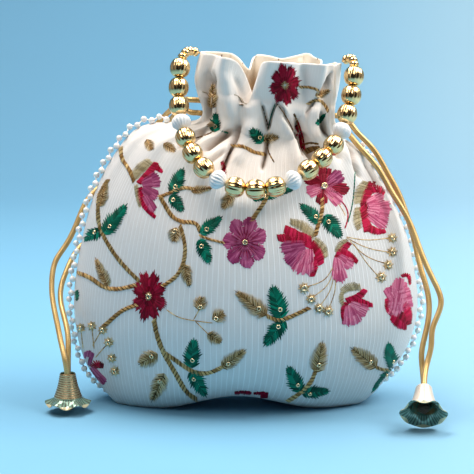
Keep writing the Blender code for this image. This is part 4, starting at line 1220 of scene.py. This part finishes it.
PETALS = (  # base, tip, width at base, width at tip, thread
    # left tulip
    ((142, 184), (161, 178), 7, 17, "mauve"), ((143, 188), (158, 199), 7, 14, "mauve"),
    ((145, 195), (155, 213), 7, 9, "mauve"),
    # middle tulip
    ((305, 245), (279, 249), 9, 15, "mauve"), ((304, 248), (285, 266), 10, 16, "mauve"),
    ((306, 250), (298, 275), 11, 17, "pink"), ((309, 249), (309, 277), 8, 11, "pink"),
    # right tulip
    ((367, 204), (385, 197), 9, 14, "pink"), ((367, 208), (392, 211), 10, 20, "pink"),
    ((368, 213), (388, 226), 10, 14, "pink"),
    # small tulip under it
    ((338, 256), (354, 267), 6, 13, "pink"), ((337, 257), (342, 284), 6, 14, "pink"),
    ((336, 258), (334, 281), 4, 6, "pink"),
    # small tulip below
    ((350, 304), (369, 313), 7, 14, "pink"), ((349, 305), (353, 327), 8, 21, "pink"),
    # right flower, seen from the side
    ((395, 311), (401, 276), 12, 15, "pink"), ((394, 300), (388, 286), 10, 13, "pink"),
    ((394, 302), (387, 301), 14, 16, "pink"), ((400, 298), (412, 295), 18, 24, "pink"),
    ((397, 300), (393, 318), 12, 12, "pink"), ((401, 300), (404, 312), 12, 12, "pink"),
    # lower left cluster
    ((87, 365), (89, 350), 7, 12, "mauve"), ((90, 368), (103, 387), 8, 15, "mauve"),
    # flower with petals of two reds
    ((322, 184), (304, 176), 9, 13, "crimson"), ((324, 183), (325, 166), 9, 14, "crimson"),
    ((327, 184), (343, 173), 9, 15, "mauve"), ((328, 187), (350, 190), 9, 12, "crimson"),
    ((326, 189), (342, 204), 9, 13, "pink"), ((323, 189), (321, 206), 9, 12, "crimson"),
    ((321, 188), (306, 193), 9, 13, "pink"),
    # small reds at the lower edge
    ((243, 398), (243, 390), 16, 17, "crimson"), ((261, 398), (261, 391), 13, 15, "crimson"),
)


def embroider(side, points):
    """All the needlework of one panel."""
    needle = Needle(Ground(points, side))
    for line, width in VINES:
        needle.rope(line, width)
    for line, width, name in THIN_LINES:
        needle.line(line, width, name)
    for base, tip, width in GREEN_LEAVES:
        needle.leaf(base, tip, width, "green", sequin=width > 8)
    for base, tip, width in GOLD_LEAVES + GOLD_BUDS:
        needle.feather(base, tip, width, sequin=width > 11)
    for line, start, end, name, lift in BANDS:
        needle.band(line, start, end, name, lift)
    for base, tip, start, end, name in PETALS:
        needle.petal(base, tip, start, end, name)
    needle.flower((149, 296.3), (19.5, 29), 8, "crimson", 0.4, 0.2, 0.32, core_size=0.2)
    needle.flower((285, 85), (17.5, 24), 8, "crimson", 0.2, 0.2, 0.30, sequin=0)
    needle.flower((245, 242.5), (23, 27), 7, "mauve", 0.35, 0.05, 0.30, "crimson", 0.30, veins="crimson")
    needle.sequin((324, 186), 3.4)
    for x, y, radius in FLORETS:
        needle.floret((x, y), radius)
    return needle


THREADS = {
    "gold": ((0.30, 0.14, 0.04), (0.66, 0.40, 0.15), (0.92, 0.70, 0.34), 0.32, 0.30),
    "gold_thread": ((0.42, 0.26, 0.11), (0.74, 0.53, 0.27), (0.93, 0.78, 0.50), 0.36, 0.15),
    "gold_net": ((0.26, 0.20, 0.09), (0.50, 0.40, 0.22), (0.74, 0.62, 0.38), 0.36, 0.15),
    "bronze": ((0.07, 0.035, 0.012), (0.20, 0.10, 0.03), (0.44, 0.25, 0.08), 0.34, 0.4),
    "rope_dark": ((0.07, 0.035, 0.012), (0.20, 0.10, 0.03), (0.38, 0.22, 0.08), 0.34, 0.4),
    "green": ((0.0, 0.045, 0.026), (0.0, 0.13, 0.078), (0.002, 0.30, 0.18), 0.38, 0.0),
    "crimson": ((0.10, 0.0, 0.006), (0.30, 0.002, 0.022), (0.55, 0.012, 0.055), 0.38, 0.0),
    "red": ((0.22, 0.0, 0.012), (0.50, 0.004, 0.045), (0.80, 0.02, 0.11), 0.38, 0.0),
    "mauve": ((0.22, 0.02, 0.08), (0.42, 0.07, 0.19), (0.66, 0.20, 0.36), 0.38, 0.0),
    "pink": ((0.48, 0.05, 0.14), (0.76, 0.17, 0.31), (0.93, 0.46, 0.57), 0.38, 0.0),
}


# Cords, bells and beads

def add_cords(material):
    for name, route in STRANDS.items():
        path = smooth_route(np.array(route) * MM, STRAND_RINGS)
        grid, uv = tube_grid(path, CORD_DIA / 2, CORD_SIDES)
        hidden = path[0] - (path[1] - path[0]) / np.linalg.norm(path[1] - path[0]) * CORD_OVERLAP
        ends = [np.repeat(point[None, None, :], CORD_SIDES, axis=1) for point in (hidden, path[-1])]
        grid = np.concatenate([ends[0], grid[:1] + hidden - path[0], grid, ends[1]])
        uv = np.concatenate([uv[:1], uv[:1], uv, uv[-1:]])
        patch = Patches()
        patch.add(grid, uv, wrap=True)
        cord = patch.make(name + "_cord", material, "bag")
        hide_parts(name)


def closed_tube(name, path, diameter, sides, material, body, node):
    """A tube along a path with shut ends, which stands for one CAD node."""
    grid, uv = tube_grid(path, diameter / 2, sides)
    ends = [np.repeat(np.asarray(path[i])[None, None, :], sides, axis=1) for i in (0, -1)]
    patch = Patches()
    grid = np.concatenate([ends[0], grid, ends[1]])
    uv = np.concatenate([uv[:1], uv, uv[-1:]])
    patch.add(grid, uv, wrap=True)
    tube = patch.make(name, material, body)
    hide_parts(node)
    return tube


def channel_turn(exit_x, way):
    """One cord's turn inside the neck channel, as in the CAD source."""
    rise = CORD_DIA + TURN_GAP
    run_in = exit_x - way * CHANNEL_RUN_IN
    points = [(exit_x, 0, neck_height(exit_x) + rise), (run_in, 0, neck_height(run_in) + rise)]
    for degrees in range(30, 331, 20):
        angle = math.radians(degrees)
        x = CHANNEL_X + way * CHANNEL_HALF_WIDTH * math.cos(angle)
        y = way * CHANNEL_HALF_DEPTH * math.sin(angle)
        points.append((x, y, neck_height(x) + rise - 2 * rise * degrees / 360))
    points += [(run_in, 0, neck_height(run_in) - rise), (exit_x, 0, neck_height(exit_x) - rise)]
    return smooth_route(points, 100)


def add_channel_cords(material):
    for side, neck, way in (("left", NECK_LEFT, -1), ("right", NECK_RIGHT, 1)):
        path = channel_turn(neck[0] + way * EXIT_REACH, way)
        node = f"channel_cord_{side}"
        tube = closed_tube(node + "_tube", path, CORD_DIA, CORD_SIDES, material, "bag", node)


def add_handle_thread(material):
    """The thread from the rim through every bead and back to the rim."""
    start, end = (np.array(point) * MM for point in HANDLE_ENDS)
    path = smooth_route([start] + [np.array(centre_of(name)) for name in handle_order()] + [end], 200)
    tube = closed_tube("handle_thread_twist", path, THREAD_DIA, 8, material, "handle", "handle_thread")


def turned_grid(profile, steps, shape=None):
    """A profile of (radius, height) turned about Z; shape changes radius and height by angle."""
    profile = np.asarray(profile, float)
    angle = np.linspace(0, 2 * math.pi, steps, endpoint=False)[None, :]
    radius = np.broadcast_to(profile[:, :1], (len(profile), steps)).copy()
    height = np.broadcast_to(profile[:, 1:2], (len(profile), steps)).copy()
    if shape:
        radius, height = shape(angle, radius, height)
    grid = np.stack([radius * np.cos(angle), radius * np.sin(angle), height], axis=-1)
    uv = np.stack(np.broadcast_arrays(height / MM, angle / (2 * math.pi)), axis=-1)
    return grid, uv


def moved(grid, matrix):
    rotation = np.array(matrix.to_3x3())
    return grid @ rotation.T + np.array(matrix.translation)


def bell_profile():
    """Outer face from the rim up to the hole, with wound ribs, then the inner face back down."""
    cone_low = (BELL_SHOULDER_DIA / 2 + 0.6 * MM, BELL_LIP)
    cone_high = (BELL_HOLE_DIA / 2 + BELL_WALL, BELL_HEIGHT)
    outer = [(BELL_MOUTH_DIA / 2, 0), (BELL_MOUTH_DIA / 2 - 0.2 * MM, 0.5 * MM), (11.8 * MM, 1.2 * MM),
             (10.4 * MM, 2.0 * MM), (9.3 * MM, 3.0 * MM)]
    steps = BELL_RIBS * RIB_STEPS
    for i in range(steps + 1):
        share = i / steps
        bulge = 0.5 * MM * math.sin(math.pi * share)
        radius = cone_low[0] + (cone_high[0] - cone_low[0]) * share - bulge
        rib = 0.32 * MM * abs(math.sin(math.pi * share * BELL_RIBS))
        outer.append((radius + rib - 0.2 * MM, cone_low[1] + (cone_high[1] - cone_low[1]) * share))
    inner = [(max(radius - BELL_WALL, 1 * MM), height) for radius, height in outer[::3][::-1]]
    inner[-1] = (BELL_MOUTH_DIA / 2 - BELL_WALL, 0)
    return outer + inner


def bell_cone(name, groove, ridge, metallic):
    cone = Nodes(name)
    along = cone.uv()[0]
    wear_and_painted_crease_shade = cone.noise(cone.place(), 400.0, 2.0)
    band = cone.math("MULTIPLY_ADD", wear_and_painted_crease_shade, 0.3, cone.math("MULTIPLY", wave(cone, along, 1.31), 0.85))
    cone.set(Base_Color=cone.mix(band, groove, ridge), Metallic=metallic, Roughness=0.34)
    cone.bump(cone.noise(cone.place(), 900.0, 2.0), 0.03 * MM, 0.5)
    return cone.material


def bell_materials():
    rim = Nodes("bell_rim")
    along, across, _ = rim.uv()
    stripe = wave(rim, across, 1 / 36)
    cloud = rim.noise(rim.place(), 150.0, 2.0)
    tone = rim.mix(rim.math("POWER", stripe, 0.6), (0.03, 0.05, 0.05), (0.22, 0.46, 0.37))
    tone = rim.mix(rim.math("MULTIPLY", cloud, 0.35), tone, (0.36, 0.24, 0.12))
    edge = rim.math("LESS_THAN", along, 0.35)
    tone = rim.mix(edge, tone, (0.84, 0.72, 0.44))
    rim.set(Base_Color=tone, Metallic=0.35, Roughness=0.2, Coat_Weight=0.5, Coat_Roughness=0.08)
    inside = Nodes("bell_inside")
    vector = inside.uv()[2]
    patch = inside.noise(inside.stretch(vector, (0.25, 5.0, 1)), 1.0, 2.0)
    tone = inside.ramp(patch, (0.35, (0.02, 0.05, 0.04)), (0.5, (0.12, 0.26, 0.19)),
                       (0.62, (0.30, 0.17, 0.07)))
    inside.set(Base_Color=tone, Metallic=0.45, Roughness=0.16, Coat_Weight=0.5, Coat_Roughness=0.06)
    return rim.material, inside.material


def petalled(rise):
    """A change of shape that waves the bell's lip into petals of the given rise."""
    def shape(angle, radius, height):
        share = smoothstep(BELL_LIP, 0, height)
        turn = np.cos(BELL_PETALS * angle)
        return radius * (1 + 0.05 * share * turn), height + rise * share * turn

    return shape


def add_bells():
    rim, inside = bell_materials()
    # The knot is the gold cords' own ends; its dark bronze colours are painted shade of the bell's inside.
    knot_cord_painted_shade = thread("knot_cord_painted_shade", (0.05, 0.03, 0.02), (0.14, 0.08, 0.04), (0.28, 0.18, 0.08), 0.3, 0.3)
    cones = {
        "left": bell_cone("bell_cone", (0.13, 0.07, 0.03), (0.78, 0.58, 0.32), 0.8),
        # Both bells are the same; the right cone's paler colours and lower metal are a painted highlight.
        "right": bell_cone("bell_cone_painted_highlight", (0.70, 0.54, 0.42), (0.92, 0.82, 0.72), 0.3),
    }
    waves = {"left": PETAL_WAVE, "right": 0.6 * PETAL_WAVE}
    for side, (mouth, way) in BELLS.items():
        up = -Vector(way).normalized()
        matrix = Matrix.Translation(Vector(mouth) * MM) @ up.to_track_quat("Z", "Y").to_matrix().to_4x4()
        profile = bell_profile()
        grid, uv = turned_grid(profile + profile[:1], BELL_STEPS, petalled(waves[side]))
        patch = Patches()
        patch.add(moved(grid, matrix), uv, wrap=True)
        bell = patch.make(f"bell_{side}_tassel", cones[side], "bag")
        bell.data.materials.append(rim)
        bell.data.materials.append(inside)
        outer_rows = BELL_RIM_ROWS + BELL_RIBS * RIB_STEPS + 1
        for face in bell.data.polygons:
            row = face.index // BELL_STEPS
            if row < BELL_RIM_ROWS or row > len(profile) - 4:
                face.material_index = 1
            elif row >= outer_rows - 1:
                face.material_index = 2
        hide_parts(f"bell_{side}")
        add_knot(side, matrix, knot_cord_painted_shade)


def add_knot(side, matrix, material):
    """The two cord ends tied in one round knot: a tube wound over itself."""
    low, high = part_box(f"knot_{side}")
    centre = (low + high) / 2
    radius = 2.7 * MM
    turns = 3
    points = []
    for i in range(150):
        share = i / 149
        angle = 2 * math.pi * turns * 2 * share
        tilt = 2 * math.pi * turns * share * 0.83
        local = Vector((math.cos(angle), math.sin(angle) * math.cos(tilt), math.sin(angle) * math.sin(tilt)))
        points.append(centre + matrix.to_3x3() @ (local * radius * 0.85))
    grid, uv = tube_grid(points, 1.25 * MM, 10)
    patch = Patches()
    patch.add(grid, uv, wrap=True)
    knot = patch.make(f"knot_{side}_tied", material, "bag")
    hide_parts(f"knot_{side}")


def centre_of(name):
    """The middle of a CAD node's own vertices."""
    return Vector(np.array([v.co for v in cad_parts[name].data.vertices]).mean(0))


def handle_order():
    order = [f"spacer_{i:02d}" for i in range(1, 6)]
    gold = 1
    for group in range(5):
        for _ in range(3):
            order.append(f"gold_bead_{gold:02d}")
            gold += 1
        if group < 4:
            order.append(f"white_bead_{group + 1}")
    return order + [f"spacer_{i:02d}" for i in range(6, 11)]


def bead_profile(diameter, length, belly, rows):
    hole = BEAD_HOLE_DIA / 2
    profile = []
    for i in range(rows + 1):
        share = -math.cos(math.pi * i / rows)
        swell = max(0.0, 1 - share * share) ** (0.5 * belly)
        profile.append((hole + 0.2 * MM + (diameter / 2 - hole - 0.2 * MM) * swell, share * length / 2))
    return profile + [(hole, length / 2), (hole, -length / 2), profile[0]]


def add_beads(materials):
    def flutes(angle, radius, height):
        share = np.clip(radius / (GOLD_BEAD_DIA / 2), 0, 1) ** 3
        wavy = np.abs(np.cos(GOLD_FLUTES / 2 * angle)) ** 1.2
        return radius * (1 - 0.055 * share * (1 - wavy)), height

    def windings(angle, radius, height):
        share = np.clip(radius / (WHITE_BEAD_DIA / 2), 0, 1)
        lay = np.abs(np.cos(8 * angle + height * 200)) ** 0.7
        fine = np.abs(np.cos(22 * angle - height * 500))
        return radius * (1 - share * (0.17 * (1 - lay) + 0.04 * (1 - fine))), height

    forms = {
        "gold": turned_grid(bead_profile(GOLD_BEAD_DIA, GOLD_BEAD_LENGTH, 0.86, 18), 96, flutes),
        "white": turned_grid(bead_profile(WHITE_BEAD_DIA, WHITE_BEAD_LENGTH, 1.9, 18), 128, windings),
        "spacer": turned_grid(bead_profile(SPACER_DIA, SPACER_LENGTH, 0.8, 8), 28),
    }
    order = handle_order()
    centres = [centre_of(name) for name in order]
    for i, name in enumerate(order):
        kind = name.split("_")[0]
        way = (centres[min(i + 1, len(order) - 1)] - centres[max(i - 1, 0)]).normalized()
        matrix = Matrix.Translation(centres[i]) @ way.to_track_quat("Z", "Y").to_matrix().to_4x4()
        turn = Matrix.Rotation(rng.uniform(0, 2 * math.pi), 4, "Z")
        grid, uv = forms[kind]
        patch = Patches()
        patch.add(moved(grid, matrix @ turn), uv, wrap=True)
        bead = patch.make(name + "_turned", materials[kind], "handle")
        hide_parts(name)


def seam_route():
    """The seam's outer edge, as in the CAD source."""
    down = np.linspace(PEARLS_FROM_LEFT, 0, 160)
    across = np.linspace(-1, 1, 160)
    up = np.linspace(0, PEARLS_TO_RIGHT, 160)
    points = np.concatenate([
        panel_point(-1, down, FRONT)[:-1],
        panel_point(across, 0, FRONT),
        panel_point(1, up, FRONT)[1:],
    ])
    points[:, 1] = 0
    return points


def add_pearls(material):
    """Round pearls on their thread, to the front and the back of the seam in turn."""
    seam = seam_route()
    length = np.concatenate([[0], np.cumsum(np.linalg.norm(np.diff(seam, axis=0), axis=1))])
    count = round(length[-1] / PEARL_PITCH)
    places = np.linspace(0, length[-1], count + 1)
    on_seam = np.stack([np.interp(places, length, seam[:, axis]) for axis in range(3)], axis=-1)
    ahead = np.gradient(on_seam, axis=0)
    outward = np.stack([ahead[:, 2], 0 * ahead[:, 0], -ahead[:, 0]], axis=-1)
    outward = outward / np.linalg.norm(outward, axis=1, keepdims=True)
    free = smoothstep(PEARLS_HIDE_BELOW, PEARLS_SPREAD_ABOVE, on_seam[:, 2:])
    middle = on_seam + outward * (PEARL_DIA / 2 + TOUCH + PEARL_FOLD * (1 - free))
    sign = np.where(np.arange(count + 1) % 2, 1, -1)
    middle[:, 1] = PEARL_ZIGZAG * sign * free[:, 0]
    middle += outward * (0.8 * MM * (0.6 + sign[:, None]) * free)
    patch = Patches()
    grid, uv = tube_grid(smooth_route(middle, 3 * count), PEARL_THREAD_DIA / 2, 6)
    patch.add(grid, uv, wrap=True)
    tilt = np.linspace(0.02, math.pi - 0.02, 10)
    ball = [(PEARL_DIA / 2 * math.sin(t), -PEARL_DIA / 2 * math.cos(t)) for t in tilt]
    for point in middle:
        grid, uv = turned_grid(ball, 16)
        patch.add(grid * rng.uniform(1.04, 1.14) + point, uv, wrap=True)
    pearls = patch.make("seam_pearls", material, "bag")
    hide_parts("pearl_trim")


# Building it all

add_camera()
add_stage()
scene = bpy.context.scene
scene.view_settings.view_transform = "Standard"

cord_satin = satin_cord("gold_satin_cord")
add_bells()
add_cords(cord_satin)
add_channel_cords(cord_satin)

# The last two numbers: share of painted shade deep in the mouth, and of pinholes.
backing = silk_inside("silk_backing", (0.70, 0.62, 0.50), (0.84, 0.78, 0.68), 0.9, 0.85)
lining_cloth = silk_inside("lining_silk", (0.42, 0.35, 0.27), (0.56, 0.49, 0.39), 0.15, 0.0)
outer_silk = silk("slub_silk", (0.80, 0.765, 0.735), (0.63, 0.60, 0.58))
front, front_points = add_panel("front_cloth", FRONT, outer_silk, backing)
back, back_points = add_panel("back_cloth", BACK, outer_silk, backing)
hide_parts("front_panel")
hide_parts("back_panel")
back_points = back_points[:, ::-1]
add_lining(lining_cloth, (front_points, back_points))

thread_materials = {
    name: thread("thread_" + name, dark, middle, light, gloss, metal)
    for name, (dark, middle, light, gloss, metal) in THREADS.items()
}
sequin_gold = gold_metal("sequin_gold", (0.95, 0.82, 0.56), (0.72, 0.52, 0.26), 0.2)
panels = ((front, FRONT, front_points, "front"), (back, BACK, back_points, "back"))
for panel, side, points, label in panels:
    needle = embroider(side, points)
    for name, patch in needle.work.items():
        material = sequin_gold if name == "sequin" else thread_materials[name]
        patch.make(f"{label}_{name}", material, "bag")

bead_gold = gold_metal("bead_gold", (0.88, 0.66, 0.35), (0.74, 0.50, 0.22), 0.13)
bead_white = thread("bead_winding", (0.80, 0.80, 0.80), (0.90, 0.90, 0.90), (0.95, 0.95, 0.95), 0.5)
add_beads({"gold": bead_gold, "white": bead_white, "spacer": bead_gold})

add_pearls(pearl())
add_handle_thread(cord_satin)
